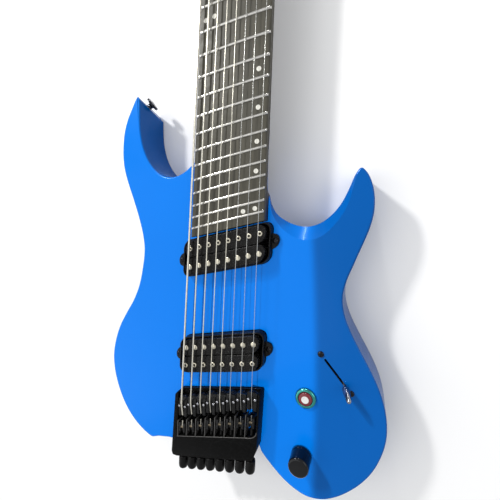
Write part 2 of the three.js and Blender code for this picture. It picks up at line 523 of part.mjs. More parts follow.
// ---------- push button ----------
let housing = solid(rod(7.7, V3(BUTTON.x, BUTTON.y, 20), V3(BUTTON.x, BUTTON.y, 41), 20));
housing = housing.add(solid(along(turned([[0, 0], [9.15, 0], [9.15, 1.0], [8.2, 2.3], [0, 2.3]], 28), V3(0, 0, 1), V3(BUTTON.x, BUTTON.y, BODY_T + GAP))));
housing = housing.subtract(solid(rod(6.35, V3(BUTTON.x, BUTTON.y, 22), V3(BUTTON.x, BUTTON.y, 50), 20)));
add('button_housing', housing, 0x3fae9a, 0.25, 0.9);
let cap = solid(along(turned([[0, 0], [6.0, 0], [6.0, 7.4], [5.2, 8.2], [0, 8.4]], 24), V3(0, 0, 1), V3(BUTTON.x, BUTTON.y, 35.6)));
add('button_cap', cap, 0x7a1420, 0.35, 0.2);
const springPts = [];
const SPRING = { z0: 23.1, z1: 34.6, r: 4.2, wire: 0.6, turns: 4.5 };
class Helix extends THREE.Curve {
  getPoint(t) {
    const a = t * SPRING.turns * 2 * Math.PI;
    return V3(BUTTON.x + SPRING.r * Math.cos(a), BUTTON.y + SPRING.r * Math.sin(a), lerp(SPRING.z0, SPRING.z1, t));
  }
}
const wireShape = new THREE.Shape(Array.from({ length: 6 }, (_, k) => new THREE.Vector2(SPRING.wire * Math.cos((k * Math.PI) / 3), SPRING.wire * Math.sin((k * Math.PI) / 3))));
add('button_spring', new THREE.ExtrudeGeometry(wireShape, { steps: 54, bevelEnabled: false, extrudePath: new Helix() }), 0xb8babd, 0.3, 0.95);

// ---------- selector switch ----------
const onSwitch = (u, v, z) => V3(SWITCH.x + SWITCH_DIR.x * u + SWITCH_AXIS.x * v, SWITCH.y + SWITCH_DIR.y * u + SWITCH_AXIS.y * v, z);
let frame = solid(turnedBox(46, 9, 32.2, 33.7, onSwitch(0, 0, 0), SWITCH_DIR));
frame = frame.subtract(solid(turnedBox(31, 4.4, 30, 36, onSwitch(0, 0, 0), SWITCH_DIR)));
for (const s of [-1, 1]) frame = frame.add(solid(turnedBox(20, 1.4, 10, 32.6, onSwitch(0, s * 3.75, 0), SWITCH_DIR)));
frame = frame.add(solid(turnedBox(24, 8.9, 7.2, 10.2, onSwitch(0, 0, 0), SWITCH_DIR)));
for (const s of [-1, 1]) frame = frame.subtract(solid(rod(1.6, onSwitch(s * 19.4, 0, 28), onSwitch(s * 19.4, 0, 38), 10)));
add('switch_frame', frame, 0xa5a7aa, 0.4, 0.85);
// Lever swings in the switch's long plane about a pin across the frame.
const leverAt = (u, z, angle) => {
  const a = THREE.MathUtils.degToRad(angle);
  const dz = z;
  return [u * Math.cos(a) + dz * Math.sin(a), SWITCH_PIVOT_Z - u * Math.sin(a) + dz * Math.cos(a)];
};
const leverPiece = (profile, t, angle) => {
  const p = profile.map(([u, z]) => leverAt(u, z, angle));
  return solid(loft([p.map(([u, z]) => onSwitch(u, -t / 2, z)), p.map(([u, z]) => onSwitch(u, t / 2, z))]));
};
const lever = leverPiece([[-2.6, -2.4], [2.6, -2.4], [3, 4], [1.6, 10], [1.5, 36], [-1.5, 36], [-1.6, 10], [-3, 4]], 1.2, SWITCH_ANGLE);
const pin = solid(rod(1.1, onSwitch(0, -2.75, SWITCH_PIVOT_Z), onSwitch(0, 2.75, SWITCH_PIVOT_Z), 10));
add('switch_lever', lever.add(pin), 0xb0b2b5, 0.35, 0.9);
const tipDir = V3(SWITCH_DIR.x * Math.sin(THREE.MathUtils.degToRad(SWITCH_ANGLE)), SWITCH_DIR.y * Math.sin(THREE.MathUtils.degToRad(SWITCH_ANGLE)), Math.cos(THREE.MathUtils.degToRad(SWITCH_ANGLE)));
const tipBase = onSwitch(0, 0, SWITCH_PIVOT_Z).addScaledVector(tipDir, 31.4);
let tip = solid(along(turned([[0, 0], [2.6, 0], [3.0, 0.7], [3.0, 3.6], [2.0, 12.2], [1.4, 13.5], [0, 14]], 18), tipDir, tipBase));
const tipSlot = leverPiece([[-1.8, 28], [1.8, 28], [1.8, 36.5], [-1.8, 36.5]], 1.9, SWITCH_ANGLE);
tip = tip.subtract(tipSlot);
add('switch_tip', tip, 0x2a2c2f, 0.18, 0.95);

// ---------- cover, jack, plate, strap buttons ----------
add('control_cover', solid(prism(grow(CAVITY, 4.4), 0.3, 2.6)), 0x121213, 0.5, 0.0);
add('neck_plate', solid(box(-26, 26, 168, 200, 0.3, 2.3)), 0x1c1c1e, 0.35, 0.8);

let jack = solid(rod(4.7, V3(118, JACK.y, JACK.z), V3(143.9, JACK.y, JACK.z), 16));
jack = jack.add(solid(rod(10, V3(142.9, JACK.y, JACK.z), V3(144.7, JACK.y, JACK.z), 24)));
jack = jack.subtract(solid(rod(3.2, V3(121, JACK.y, JACK.z), V3(152, JACK.y, JACK.z), 16)));
add('output_jack', jack, 0x1d1e20, 0.3, 0.85);

const strapProfile = [[0, 0], [2.9, 0], [2.8, 2.5], [3.4, 3.1], [6.5, 3.8], [7.0, 4.4], [7.0, 5.7], [6.3, 6.5], [0, 6.5]];
add('strap_button_upper', solid(along(turned(strapProfile, 20), SEAT_N, SEAT.clone().addScaledVector(SEAT_N, 0.35))), 0x16171a, 0.3, 0.85);
add('strap_button_lower', solid(along(turned(strapProfile, 20), V3(0, -1, 0), V3(87, -63.2, 20))), 0x16171a, 0.3, 0.85);

export default group;
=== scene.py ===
import bpy, bmesh, math
import numpy as np
from mathutils import Vector, Matrix, Quaternion


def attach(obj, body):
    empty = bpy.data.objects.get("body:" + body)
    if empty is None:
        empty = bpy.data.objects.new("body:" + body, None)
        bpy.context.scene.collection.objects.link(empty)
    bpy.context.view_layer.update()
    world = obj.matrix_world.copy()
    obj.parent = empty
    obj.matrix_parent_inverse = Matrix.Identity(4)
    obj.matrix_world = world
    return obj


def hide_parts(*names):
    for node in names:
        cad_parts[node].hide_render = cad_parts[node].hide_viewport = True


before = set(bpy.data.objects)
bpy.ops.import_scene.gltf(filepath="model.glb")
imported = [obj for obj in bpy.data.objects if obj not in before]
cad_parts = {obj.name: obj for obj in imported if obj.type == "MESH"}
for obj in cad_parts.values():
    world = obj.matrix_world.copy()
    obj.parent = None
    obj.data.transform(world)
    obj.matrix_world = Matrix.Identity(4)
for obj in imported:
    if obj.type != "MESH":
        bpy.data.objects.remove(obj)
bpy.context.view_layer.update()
scene = bpy.context.scene
coll = scene.collection
MM = 0.001

# ------------------------------------------------------------------ sizes, in mm, as in the CAD
BODY_T = 40.0
SB, ST = 685.8, 647.7
OFFS = (SB - ST) * 2 ** (-6 / 12)
BRIDGE_X = -1.5
SP_B, SP_N = 10.29, 7.09
Z_STR = 55.0
BOARD_TOP, FRET_TOP = 50.9, 52.0
W24, WNUT = 71.3, 55.1
R_STR = [0.94, 0.72, 0.56, 0.42, 0.34, 0.28, 0.24, 0.22]
def half_w(y): return (W24 + (WNUT - W24) * (y - 180) / (SB - 180)) / 2
def saddle_x(i): return BRIDGE_X + (i - 3.5) * SP_B
def saddle_y(i): return OFFS * i / 7
def nut_y(i): return SB + (OFFS + ST - SB) * i / 7
def nut_x(i): return -24.8 + SP_N * i
def nut_z(i): return FRET_TOP + 0.6 + R_STR[i]
def head_y(x, d=0.0): return nut_y(0) + (nut_y(7) - nut_y(0)) * (x + 24.8) / 49.6 + d
def string_x(i, y): return saddle_x(i) + (nut_x(i) - saddle_x(i)) * (y - saddle_y(i)) / (nut_y(i) - saddle_y(i))
def fret_y(n, x):
    k = 2 ** (-n / 12)
    yb, yt = SB * k, OFFS + ST * k
    xb, xt = string_x(0, yb), string_x(7, yt)
    return yb + (yt - yb) * (x - xb) / (xt - xb)
def front_y(x): return 19.4 + 0.246 * x
def block_front(x): return -24.1 + 0.302 * x
def rear_y(x): return -46.5 + 0.287 * x

# ------------------------------------------------------------------ mesh helpers
def new_obj(name, verts, faces, mat=None):
    me = bpy.data.meshes.new(name)
    me.from_pydata([tuple(float(c) * MM for c in v) for v in verts], [], faces)
    me.validate()
    o = bpy.data.objects.new(name, me)
    coll.objects.link(o)
    bm = bmesh.new(); bm.from_mesh(me)
    bmesh.ops.recalc_face_normals(bm, faces=bm.faces)
    bm.to_mesh(me); bm.free()
    if mat: me.materials.append(mat)
    return o

def apply_mods(o):
    bpy.context.view_layer.update()
    dg = bpy.context.evaluated_depsgraph_get()
    me = bpy.data.meshes.new_from_object(o.evaluated_get(dg), preserve_all_data_layers=True, depsgraph=dg)
    old = o.data
    o.modifiers.clear()
    o.data = me
    me.name = o.name
    if old.users == 0: bpy.data.meshes.remove(old)
    return o

def bevel(o, width, segments=2, angle=35, weighted=False):
    m = o.modifiers.new("b", "BEVEL")
    m.width = width * MM; m.segments = segments; m.limit_method = "ANGLE"; m.angle_limit = math.radians(angle)
    m.use_clamp_overlap = True; m.miter_outer = "MITER_ARC"; m.harden_normals = False
    apply_mods(o)
    return o

def smooth(o, angle=40, weighted=False):
    for p in o.data.polygons: p.use_smooth = True
    o.data.set_sharp_from_angle(angle=math.radians(angle))
    if weighted:
        m = o.modifiers.new("w", "WEIGHTED_NORMAL"); m.keep_sharp = True; m.weight = 60
        apply_mods(o)
    return o

def cut(o, cutter, op="DIFFERENCE", keep=False):
    m = o.modifiers.new("c", "BOOLEAN")
    m.operation = op; m.solver = "MANIFOLD" if cutter.name in ("c_seat", "c_heel") else "EXACT"; m.object = cutter
    try: m.material_mode = "TRANSFER"
    except Exception: pass
    apply_mods(o)
    if not keep:
        me = cutter.data
        bpy.data.objects.remove(cutter)
        bpy.data.meshes.remove(me)
    return o

def join(name, objs):
    bm = bmesh.new()
    mats = []
    for o in objs:
        off = {}
        for i, m in enumerate(o.data.materials):
            if m not in mats: mats.append(m)
            off[i] = mats.index(m)
        tmp = bmesh.new(); tmp.from_mesh(o.data); tmp.transform(o.matrix_world)
        for f in tmp.faces: f.material_index = off.get(f.material_index, 0)
        me = bpy.data.meshes.new("t"); tmp.to_mesh(me); tmp.free()
        bm.from_mesh(me); bpy.data.meshes.remove(me)
        old = o.data
        bpy.data.objects.remove(o)
        if old.users == 0: bpy.data.meshes.remove(old)
    me = bpy.data.meshes.new(name); bm.to_mesh(me); bm.free()
    for m in mats: me.materials.append(m)
    o = bpy.data.objects.new(name, me); coll.objects.link(o)
    return o

def prism(name, pts, z0, z1, mat=None):
    n = len(pts)
    v = [(x, y, z0) for x, y in pts] + [(x, y, z1) for x, y in pts]
    f = [list(range(n))[::-1], list(range(n, 2 * n))] + [[i, (i + 1) % n, n + (i + 1) % n, n + i] for i in range(n)]
    return new_obj(name, v, f, mat)

def boxo(name, x0, x1, y0, y1, z0, z1, mat=None):
    return prism(name, [(x0, y0), (x1, y0), (x1, y1), (x0, y1)], z0, z1, mat)

def basis(d):
    d = Vector(d).normalized()
    h = Vector((0, 0, 1)) if abs(d.z) < 0.9 else Vector((1, 0, 0))
    u = h.cross(d).normalized()
    return u, d.cross(u).normalized(), d

def lathe(name, prof, at, d, mat=None, seg=48, radial=None):
    """prof: (radius, height) from end to end; closed on the axis with fans."""
    u, w, d = basis(d)
    at = Vector(at)
    v, f = [], []
    rows = []
    for r, h in prof:
        if r <= 1e-6:
            rows.append([len(v)]); v.append(at + d * h)
        else:
            row = []
            for k in range(seg):
                a = 2 * math.pi * k / seg
                rr = r * (radial(k, h, r) if radial else 1.0)
                row.append(len(v)); v.append(at + d * h + (u * math.cos(a) + w * math.sin(a)) * rr)
            rows.append(row)
    for a, b in zip(rows, rows[1:]):
        for k in range(seg):
            k2 = (k + 1) % seg
            if len(a) == 1 and len(b) == 1: continue
            if len(a) == 1: f.append([a[0], b[k], b[k2]])
            elif len(b) == 1: f.append([a[k], a[k2], b[0]])
            else: f.append([a[k], a[k2], b[k2], b[k]])
    if len(rows[0]) > 1: f.append(rows[0][::-1])
    if len(rows[-1]) > 1: f.append(rows[-1][:])
    return new_obj(name, v, f, mat)

def round_prof(pts, r, n=4):
    """Rounds the inner corners of a (radius, height) profile."""
    out = [pts[0]]
    for a, b, c in zip(pts, pts[1:], pts[2:]):
        a, b, c = np.array(a, float), np.array(b, float), np.array(c, float)
        l1, l2 = np.linalg.norm(a - b), np.linalg.norm(c - b)
        e = min(r, 0.45 * l1, 0.45 * l2)
        p, q = b + (a - b) / l1 * e, b + (c - b) / l2 * e
        for k in range(n + 1):
            t = k / n
            out.append(tuple((1 - t) ** 2 * p + 2 * t * (1 - t) * b + t * t * q))
    out.append(pts[-1])
    return out

def tube(name, pts, r, mat=None, seg=12, caps=True, rfun=None):
    pts = [Vector(p) for p in pts]
    v, f = [], []
    up = None
    for i, p in enumerate(pts):
        d = (pts[min(i + 1, len(pts) - 1)] - pts[max(i - 1, 0)]).normalized()
        if up is None: up = basis(d)[0]
        up = (up - d * up.dot(d)).normalized()
        side = d.cross(up)
        rr = rfun(i) if rfun else r
        for k in range(seg):
            a = 2 * math.pi * k / seg
            v.append(p + (up * math.cos(a) + side * math.sin(a)) * rr)
    for i in range(len(pts) - 1):
        for k in range(seg):
            k2 = (k + 1) % seg
            f.append([i * seg + k, i * seg + k2, (i + 1) * seg + k2, (i + 1) * seg + k])
    if caps:
        f.append(list(range(seg))[::-1]); f.append([(len(pts) - 1) * seg + k for k in range(seg)])
    return new_obj(name, v, f, mat)

def loft(name, secs, mat=None, caps=True):
    n = len(secs[0])
    v = [p for s in secs for p in s]
    f = []
    for k in range(len(secs) - 1):
        for i in range(n):
            j = (i + 1) % n
            f.append([k * n + i, k * n + j, (k + 1) * n + j, (k + 1) * n + i])
    if caps:
        f.append(list(range(n))[::-1]); f.append([(len(secs) - 1) * n + i for i in range(n)])
    return new_obj(name, v, f, mat)

def catmull(pts, step=0.5):
    """Centripetal Catmull-Rom through pts, resampled evenly."""
    P = np.array(pts, float)
    P = np.vstack([2 * P[0] - P[1], P, 2 * P[-1] - P[-2]])
    out = []
    for i in range(len(P) - 3):
        p0, p1, p2, p3 = P[i:i + 4]
        t0 = 0; t1 = t0 + np.linalg.norm(p1 - p0) ** 0.5; t2 = t1 + np.linalg.norm(p2 - p1) ** 0.5; t3 = t2 + np.linalg.norm(p3 - p2) ** 0.5
        m = max(3, int(np.linalg.norm(p2 - p1) / 0.25))
        for t in np.linspace(t1, t2, m, endpoint=False):
            a1 = (t1 - t) / (t1 - t0) * p0 + (t - t0) / (t1 - t0) * p1
            a2 = (t2 - t) / (t2 - t1) * p1 + (t - t1) / (t2 - t1) * p2
            a3 = (t3 - t) / (t3 - t2) * p2 + (t - t2) / (t3 - t2) * p3
            b1 = (t2 - t) / (t2 - t0) * a1 + (t - t0) / (t2 - t0) * a2
            b2 = (t3 - t) / (t3 - t1) * a2 + (t - t1) / (t3 - t1) * a3
            out.append((t2 - t) / (t2 - t1) * b1 + (t - t1) / (t2 - t1) * b2)
    out.append(P[-2])
    return resample(np.array(out), step)

def resample(P, step, closed=False):
    if closed: P = np.vstack([P, P[:1]])
    s = np.concatenate([[0], np.cumsum(np.linalg.norm(np.diff(P, axis=0), axis=1))])
    n = max(2, int(round(s[-1] / step)))
    t = np.linspace(0, s[-1], n + 1)
    Q = np.stack([np.interp(t, s, P[:, k]) for k in range(P.shape[1])], 1)
    return Q[:-1] if closed else Q

def gauss(P, sigma, step, closed=False):
    k = int(4 * sigma / step)
    w = np.exp(-0.5 * (np.arange(-k, k + 1) * step / sigma) ** 2); w /= w.sum()
    if closed:
        Q = np.vstack([P[-k:], P, P[:k]])
        return np.stack([np.convolve(Q[:, c], w, "valid") for c in range(P.shape[1])], 1)
    Q = np.vstack([2 * P[0] - P[k:0:-1], P, 2 * P[-1] - P[-2:-k - 2:-1]])
    return np.stack([np.convolve(Q[:, c], w, "valid") for c in range(P.shape[1])], 1)

# ------------------------------------------------------------------ materials
def lin(c):
    """sRGB 0-255 to linear."""
    return tuple(((v / 255) / 12.92 if v / 255 <= 0.04045 else ((v / 255 + 0.055) / 1.055) ** 2.4) for v in c) + (1.0,)

def material(name, color, rough, metal=0.0, dark=0.8, light=1.12, scale=60.0, stretch=(1, 1, 1), rvar=0.06, bump=0.05, bscale=900.0,
             bstretch=(1, 1, 1), dist=0.05, coat=0.0, coat_rough=0.1, spec=0.5, wear=None, wear_rough=0.3, dust=0.0, aniso=0.0, wave=None, sheen=0.0, rot=(0, 0, 0)):
    m = bpy.data.materials.new(name); m.use_nodes = True
    nt = m.node_tree; N = nt.nodes; L = nt.links
    for n in list(N): N.remove(n)
    out = N.new("ShaderNodeOutputMaterial"); b = N.new("ShaderNodeBsdfPrincipled")
    L.new(b.outputs[0], out.inputs[0])
    tc = N.new("ShaderNodeTexCoord")
    def mapped(st):
        mp = N.new("ShaderNodeMapping"); mp.inputs["Scale"].default_value = st; mp.inputs["Rotation"].default_value = rot
        L.new(tc.outputs["Object"], mp.inputs["Vector"]); return mp.outputs[0]
    def noise(vec, sc, detail=4, rough=0.55):
        n = N.new("ShaderNodeTexNoise"); n.inputs["Scale"].default_value = sc; n.inputs["Detail"].default_value = detail
        n.inputs["Roughness"].default_value = rough; L.new(vec, n.inputs["Vector"]); return n.outputs["Fac"]
    def ramp(fac, a, b_, ca, cb):
        r = N.new("ShaderNodeMapRange"); r.inputs["From Min"].default_value = a; r.inputs["From Max"].default_value = b_
        r.inputs["To Min"].default_value = ca; r.inputs["To Max"].default_value = cb; L.new(fac, r.inputs["Value"]); return r.outputs[0]
    def mix(fac, ca, cb):
        x = N.new("ShaderNodeMix"); x.data_type = "RGBA"
        if isinstance(fac, float): x.inputs[0].default_value = fac
        else: L.new(fac, x.inputs[0])
        for s, c in ((6, ca), (7, cb)):
            if isinstance(c, tuple): x.inputs[s].default_value = c
            else: L.new(c, x.inputs[s])
        return x.outputs[2]
    big = noise(mapped(stretch), scale)
    fine = noise(mapped(stretch), scale * 7.3, 6, 0.6)
    ca = tuple(min(1, v * dark) for v in color[:3]) + (1,); cb = tuple(min(1, v * light) for v in color[:3]) + (1,)
    col = mix(ramp(big, 0.3, 0.7, 0, 1), ca, cb)
    col = mix(ramp(fine, 0.35, 0.75, 0.0, 0.35), col, ca)
    rg = ramp(noise(mapped((1, 1, 1)), scale * 3.1, 5), 0.3, 0.7, max(0.02, rough - rvar), min(1, rough + rvar))
    if wear:
        w = ramp(noise(mapped((1, 1, 1)), wear[1], 8, 0.65), wear[2], wear[2] + 0.05, 0, wear[3])
        col = mix(w, col, wear[0])
        wr = N.new("ShaderNodeMix"); L.new(w, wr.inputs[0]); L.new(rg, wr.inputs[2]); wr.inputs[3].default_value = wear_rough; rg = wr.outputs[0]
    if dust:
        d = ramp(noise(mapped((1, 1, 1)), 3100.0, 2, 0.5), 0.66, 0.72, 0, dust)
        col = mix(d, col, (0.55, 0.56, 0.58, 1))
    h = noise(mapped(bstretch), bscale, 3, 0.6)
    if wave:
        wv = N.new("ShaderNodeTexWave"); wv.wave_type = "BANDS"; wv.bands_direction = wave[0]; wv.inputs["Scale"].default_value = wave[1]
        wv.inputs["Distortion"].default_value = wave[2]; L.new(tc.outputs["Object"], wv.inputs["Vector"])
        bw = N.new("ShaderNodeBump"); bw.inputs["Strength"].default_value = wave[3]; bw.inputs["Distance"].default_value = wave[4] * MM
        L.new(wv.outputs["Fac"], bw.inputs["Height"])
        # painted shade: wave[5] darkens the colour in the grooves between the wraps
        col = mix(ramp(wv.outputs["Fac"], 0.0, 0.5, wave[5], 0.0), col, (0.02, 0.018, 0.016, 1))
    bp = N.new("ShaderNodeBump"); bp.inputs["Strength"].default_value = bump; bp.inputs["Distance"].default_value = dist * MM
    L.new(h, bp.inputs["Height"])
    if wave: L.new(bw.outputs[0], bp.inputs["Normal"])
    L.new(bp.outputs[0], b.inputs["Normal"])
    L.new(col, b.inputs["Base Color"]); L.new(rg, b.inputs["Roughness"])
    b.inputs["Metallic"].default_value = metal
    b.inputs["Specular IOR Level"].default_value = spec
    b.inputs["Coat Weight"].default_value = coat; b.inputs["Coat Roughness"].default_value = coat_rough
    b.inputs["Anisotropic"].default_value = aniso
    m["bsdf"] = b.name
    return m

M = {}
M["body"] = material("blue_lacquer", (0.0, 0.070, 0.285, 1), 0.25, 0.1, dark=0.985, light=1.015, scale=14, rvar=0.02, bump=0.03, bscale=2600, dist=0.01, spec=0.1, coat=0.05, coat_rough=0.08)
M["rout"] = material("rout_wood", lin((120, 84, 52)), 0.7, dark=0.7, light=1.15, scale=40, stretch=(6, 0.6, 6), bump=0.4, bscale=300, bstretch=(8, 1, 8), dist=0.2)
M["neck"] = material("neck_dark_satin", lin((38, 30, 27)), 0.42, dark=0.6, light=1.3, scale=55, stretch=(5, 0.35, 5), bump=0.15, bscale=400, bstretch=(6, 0.6, 6), dist=0.08)
M["board"] = material("ebony", lin((64, 61, 49)), 0.5, dark=0.55, light=1.35, scale=75, stretch=(5, 0.3, 5), rvar=0.08, bump=0.35, bscale=700, bstretch=(7, 0.5, 7), dist=0.12, spec=0.45)
M["fret"] = material("fret_nickel", lin((205, 203, 198)), 0.2, 1.0, dark=0.88, light=1.05, scale=200, rvar=0.06, bump=0.08, bscale=2500, bstretch=(0.4, 3, 3), dist=0.02, wear=(lin((140, 136, 130)), 500.0, 0.63, 0.5))
M["dot"] = material("inlay_white", lin((226, 224, 214)), 0.28, 0.0, dark=0.88, light=1.05, scale=500, bump=0.05, bscale=1800, dist=0.02, spec=0.6)
M["nut"] = material("nut_black", lin((34, 33, 33)), 0.34, dark=0.75, light=1.25, scale=200, bump=0.1, bscale=1500, dist=0.02)
M["base"] = material("bridge_black", lin((7, 7, 7)), 0.42, 0.0, spec=0.05, dark=0.8, light=1.3, scale=150, rvar=0.06, bump=0.22, bscale=1700, dist=0.03, wear=(lin((60, 60, 62)), 900.0, 0.70, 0.4), dust=0.15)
M["saddle"] = material("saddle_black", lin((14, 14, 14)), 0.36, 0.15, spec=0.2, dark=0.75, light=1.3, scale=260, rvar=0.07, bump=0.2, bscale=2000, dist=0.03, wear=(lin((120, 120, 126)), 1100.0, 0.67, 0.5), dust=0.3)
M["carriage"] = material("carriage_black", lin((16, 16, 17)), 0.28, 0.2, spec=0.25, dark=0.75, light=1.3, scale=260, bump=0.12, bscale=2000, dist=0.03, dust=0.2)
M["knob_t"] = material("tuner_black", lin((14, 14, 14)), 0.36, 0.1, spec=0.12, dark=0.8, light=1.25, scale=220, bump=0.15, bscale=2000, dist=0.03, wear=(lin((90, 90, 94)), 1000.0, 0.69, 0.4))
M["screw"] = material("screw_bright", lin((196, 197, 202)), 0.22, 1.0, dark=0.8, light=1.05, scale=400, bump=0.08, bscale=2400, dist=0.02)
M["screw_black"] = material("screw_black", lin((48, 48, 52)), 0.26, 0.95, dark=0.7, light=1.3, scale=400, bump=0.1, bscale=2400, dist=0.02, wear=(lin((150, 150, 156)), 1500.0, 0.62, 0.6))
M["pole"] = material("pole_nickel", lin((214, 208, 190)), 0.26, 1.0, dark=0.8, light=1.05, scale=500, bump=0.1, bscale=2200, dist=0.02, wear=(lin((120, 112, 96)), 1200.0, 0.62, 0.6))
M["bobbin"] = material("bobbin_black", lin((13, 12, 11)), 0.26, dark=0.8, light=1.25, scale=120, rvar=0.06, bump=0.12, bscale=1500, dist=0.02, spec=0.13, dust=0.35)
M["tray"] = material("pickup_black", lin((12, 12, 12)), 0.2, dark=0.8, light=1.25, scale=120, rvar=0.06, bump=0.1, bscale=1200, dist=0.02, spec=0.14, dust=0.25)
# The last wave field darkens the grooves between the wraps: painted shade.
M["wound"] = material("string_wound", lin((232, 228, 214)), 0.3, 1.0, dark=0.85, light=1.08, scale=300, rvar=0.05, bump=0.02, bscale=2200, dist=0.01, wave=("Y", 420.0, 0.3, 0.3, 0.03, 0.2))
M["plain"] = material("string_plain", lin((190, 190, 186)), 0.25, 1.0, dark=0.88, light=1.06, scale=300, bump=0.02, bscale=2200, dist=0.01)
M["chrome"] = material("black_chrome", lin((58, 60, 66)), 0.13, 1.0, dark=0.8, light=1.2, scale=120, rvar=0.035, bump=0.04, bscale=1800, dist=0.02, wear=(lin((110, 112, 120)), 900.0, 0.7, 0.3))
M["ring"] = material("teal_ring", lin((70, 158, 150)), 0.2, 1.0, dark=0.8, light=1.2, scale=160, bump=0.05, bscale=1800, dist=0.02)
M["red"] = material("button_red", lin((112, 18, 30)), 0.3, 0.0, dark=0.8, light=1.2, scale=200, bump=0.05, bscale=1800, dist=0.02, coat=0.3, spec=0.55)
M["white"] = material("mark_white", lin((222, 222, 220)), 0.4, 0.0, dark=0.9, light=1.05, scale=600, bump=0.05, bscale=1800, dist=0.01)
M["cover"] = material("cover_black", lin((28, 28, 30)), 0.5, dark=0.8, light=1.25, scale=90, rvar=0.06, bump=0.5, bscale=1900, dist=0.05, dust=0.3)
M["steel"] = material("bare_steel", lin((168, 168, 172)), 0.35, 1.0, dark=0.8, light=1.1, scale=160, bump=0.1, bscale=1400, dist=0.03)
# Near-black for the insides of holes and recesses (slot walls, jack bore, screw recesses, socket floors): painted
# shade.
M["hole"] = material("hole_dark", lin((10, 10, 11)), 0.6, 0.0, dark=0.7, light=1.4, scale=300, bump=0.1, bscale=1500, dist=0.02)

M["knob_v"] = material("knob_black", lin((26, 27, 30)), 0.16, 0.85, dark=0.8, light=1.2, scale=120, rvar=0.03, bump=0.04, bscale=1800, dist=0.02, coat=0.35, coat_rough=0.08)
M["tip"] = material("tip_chrome", lin((150, 152, 158)), 0.12, 1.0, dark=0.85, light=1.1, scale=120, rvar=0.03, bump=0.04, bscale=1800, dist=0.02)
M["ball"] = material("ball_brass", lin((96, 88, 74)), 0.45, 1.0, dark=0.8, light=1.1, scale=400, bump=0.08, bscale=2400, dist=0.02)

def place(o, body, slot_key, *nodes):
    """Puts a finished piece on its body and hides the CAD nodes it stands for."""
    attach(o, body)
    if nodes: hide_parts(*nodes)
    return o

def refine(name, node, mat, width=0.35, seg=2, angle=30, shade=40):
    """A fresh copy of a CAD node's mesh with its hard edges broken."""
    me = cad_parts[node].data.copy(); me.materials.clear()
    o = bpy.data.objects.new(name, me); coll.objects.link(o)
    bm = bmesh.new(); bm.from_mesh(me)
    bmesh.ops.remove_doubles(bm, verts=bm.verts, dist=2e-6)
    bmesh.ops.dissolve_limit(bm, angle_limit=math.radians(1.0), verts=bm.verts, edges=bm.edges)
    bm.to_mesh(me); bm.free()
    for a in list(me.attributes):
        if a.name in ("custom_normal", "sharp_edge", "sharp_face"):
            me.attributes.remove(a)
    me.materials.append(mat)
    if width: bevel(o, width, seg, angle)
    smooth(o, shade)
    return o

# ------------------------------------------------------------------ body
BASS_EDGE = [[-111.2, 303.0], [-114.6, 298.2], [-118.3, 291.4], [-124.1, 280.4], [-128.1, 268], [-129.6, 255.7], [-129.7, 242.8], [-128.0, 230.8], [-123.4, 217], [-114.8, 197], [-107.0, 177.5], [-101.6, 160], [-99.6, 146], [-101.0, 129.5], [-106.0, 106], [-113.6, 88.5], [-124, 71.5], [-132.8, 55], [-139.0, 36], [-141.0, 20], [-139.4, 4], [-134.6, -12], [-126.6, -28.5], [-117, -41.5], [-106.5, -51], [-95.5, -57.8], [-86.2, -61.6]]
REAR_NOTCH = [[-83.5, -61.6], [-76, -58.2], [-62.1, -54.9], [-57.0, -54.3], [-50.5, -51.6], [-45.6, -46.2], [-42.6, -41], [-38.6, -39.1], [32.2, -18.8], [36.4, -21], [38.4, -27.4], [41.6, -34.6]]
TREBLE_EDGE = [[46.4, -39.6], [56.8, -48.6], [66, -55.2], [77.4, -60.6], [87, -62.6], [98.3, -60.8], [107.5, -56], [116.5, -48.8], [128, -36], [137, -21.5], [143, -5], [145.6, 11], [144.6, 26.5], [141, 41], [135.6, 54], [128.4, 67], [119.5, 81.5], [110.4, 97.6], [105.2, 111], [103.6, 123], [105.4, 135.5], [109.8, 149.5], [116.3, 169.2], [119.7, 180.6], [121.5, 192], [121.2, 203.2], [118.7, 214], [114.9, 221.9], [110.9, 226.6]]
TREBLE_CUT = [[108.6, 226.6], [105.5, 221.2], [101.2, 209.4], [96.6, 199.2], [90.8, 191], [84.6, 185], [76.8, 180.4], [68.2, 178.3], [60, 179.2], [50.8, 182.6], [42.4, 188.4], [37.9, 195.6], [36.3, 203.5]]
BASS_CUT = [[-38.5, 236.8], [-45.7, 230.4], [-53.2, 224.9], [-61, 221.6], [-70.2, 220.6], [-79.4, 222.8], [-88, 228.4], [-96.7, 238.4], [-103.2, 251.2], [-107.0, 265.6], [-108.4, 280.7], [-108.5, 291], [-108.7, 300.6]]
STEP = 0.8
outline = np.vstack([catmull(BASS_EDGE, STEP), resample(np.array(REAR_NOTCH, float), STEP), catmull(TREBLE_EDGE, STEP), catmull(TREBLE_CUT, STEP), catmull(BASS_CUT, STEP)])
outline = resample(outline, STEP, closed=True)
outline = gauss(outline, 1.0, STEP, closed=True)

def inset(P, d):
    t = np.roll(P, -1, 0) - np.roll(P, 1, 0)
    t /= np.linalg.norm(t, axis=1)[:, None]
    return P + np.stack([-t[:, 1], t[:, 0]], 1) * d

def rounded_slab(name, P, z0, z1, r, mat, n=6):
    rows = []
    for k in range(n + 1):
        a = math.pi / 2 * k / n
        rows.append((r * (1 - math.sin(a)), z0 + r * (1 - math.cos(a))))
    rows += [(e, z0 + z1 - z) for e, z in rows[::-1]]
    secs = [[(p[0], p[1], z) for p in inset(P, e)] for e, z in rows]
    return loft(name, secs, mat)

body = rounded_slab("body_shell", outline, 0.0, BODY_T, 1.6, M["body"])
body.data.materials.append(M["rout"])

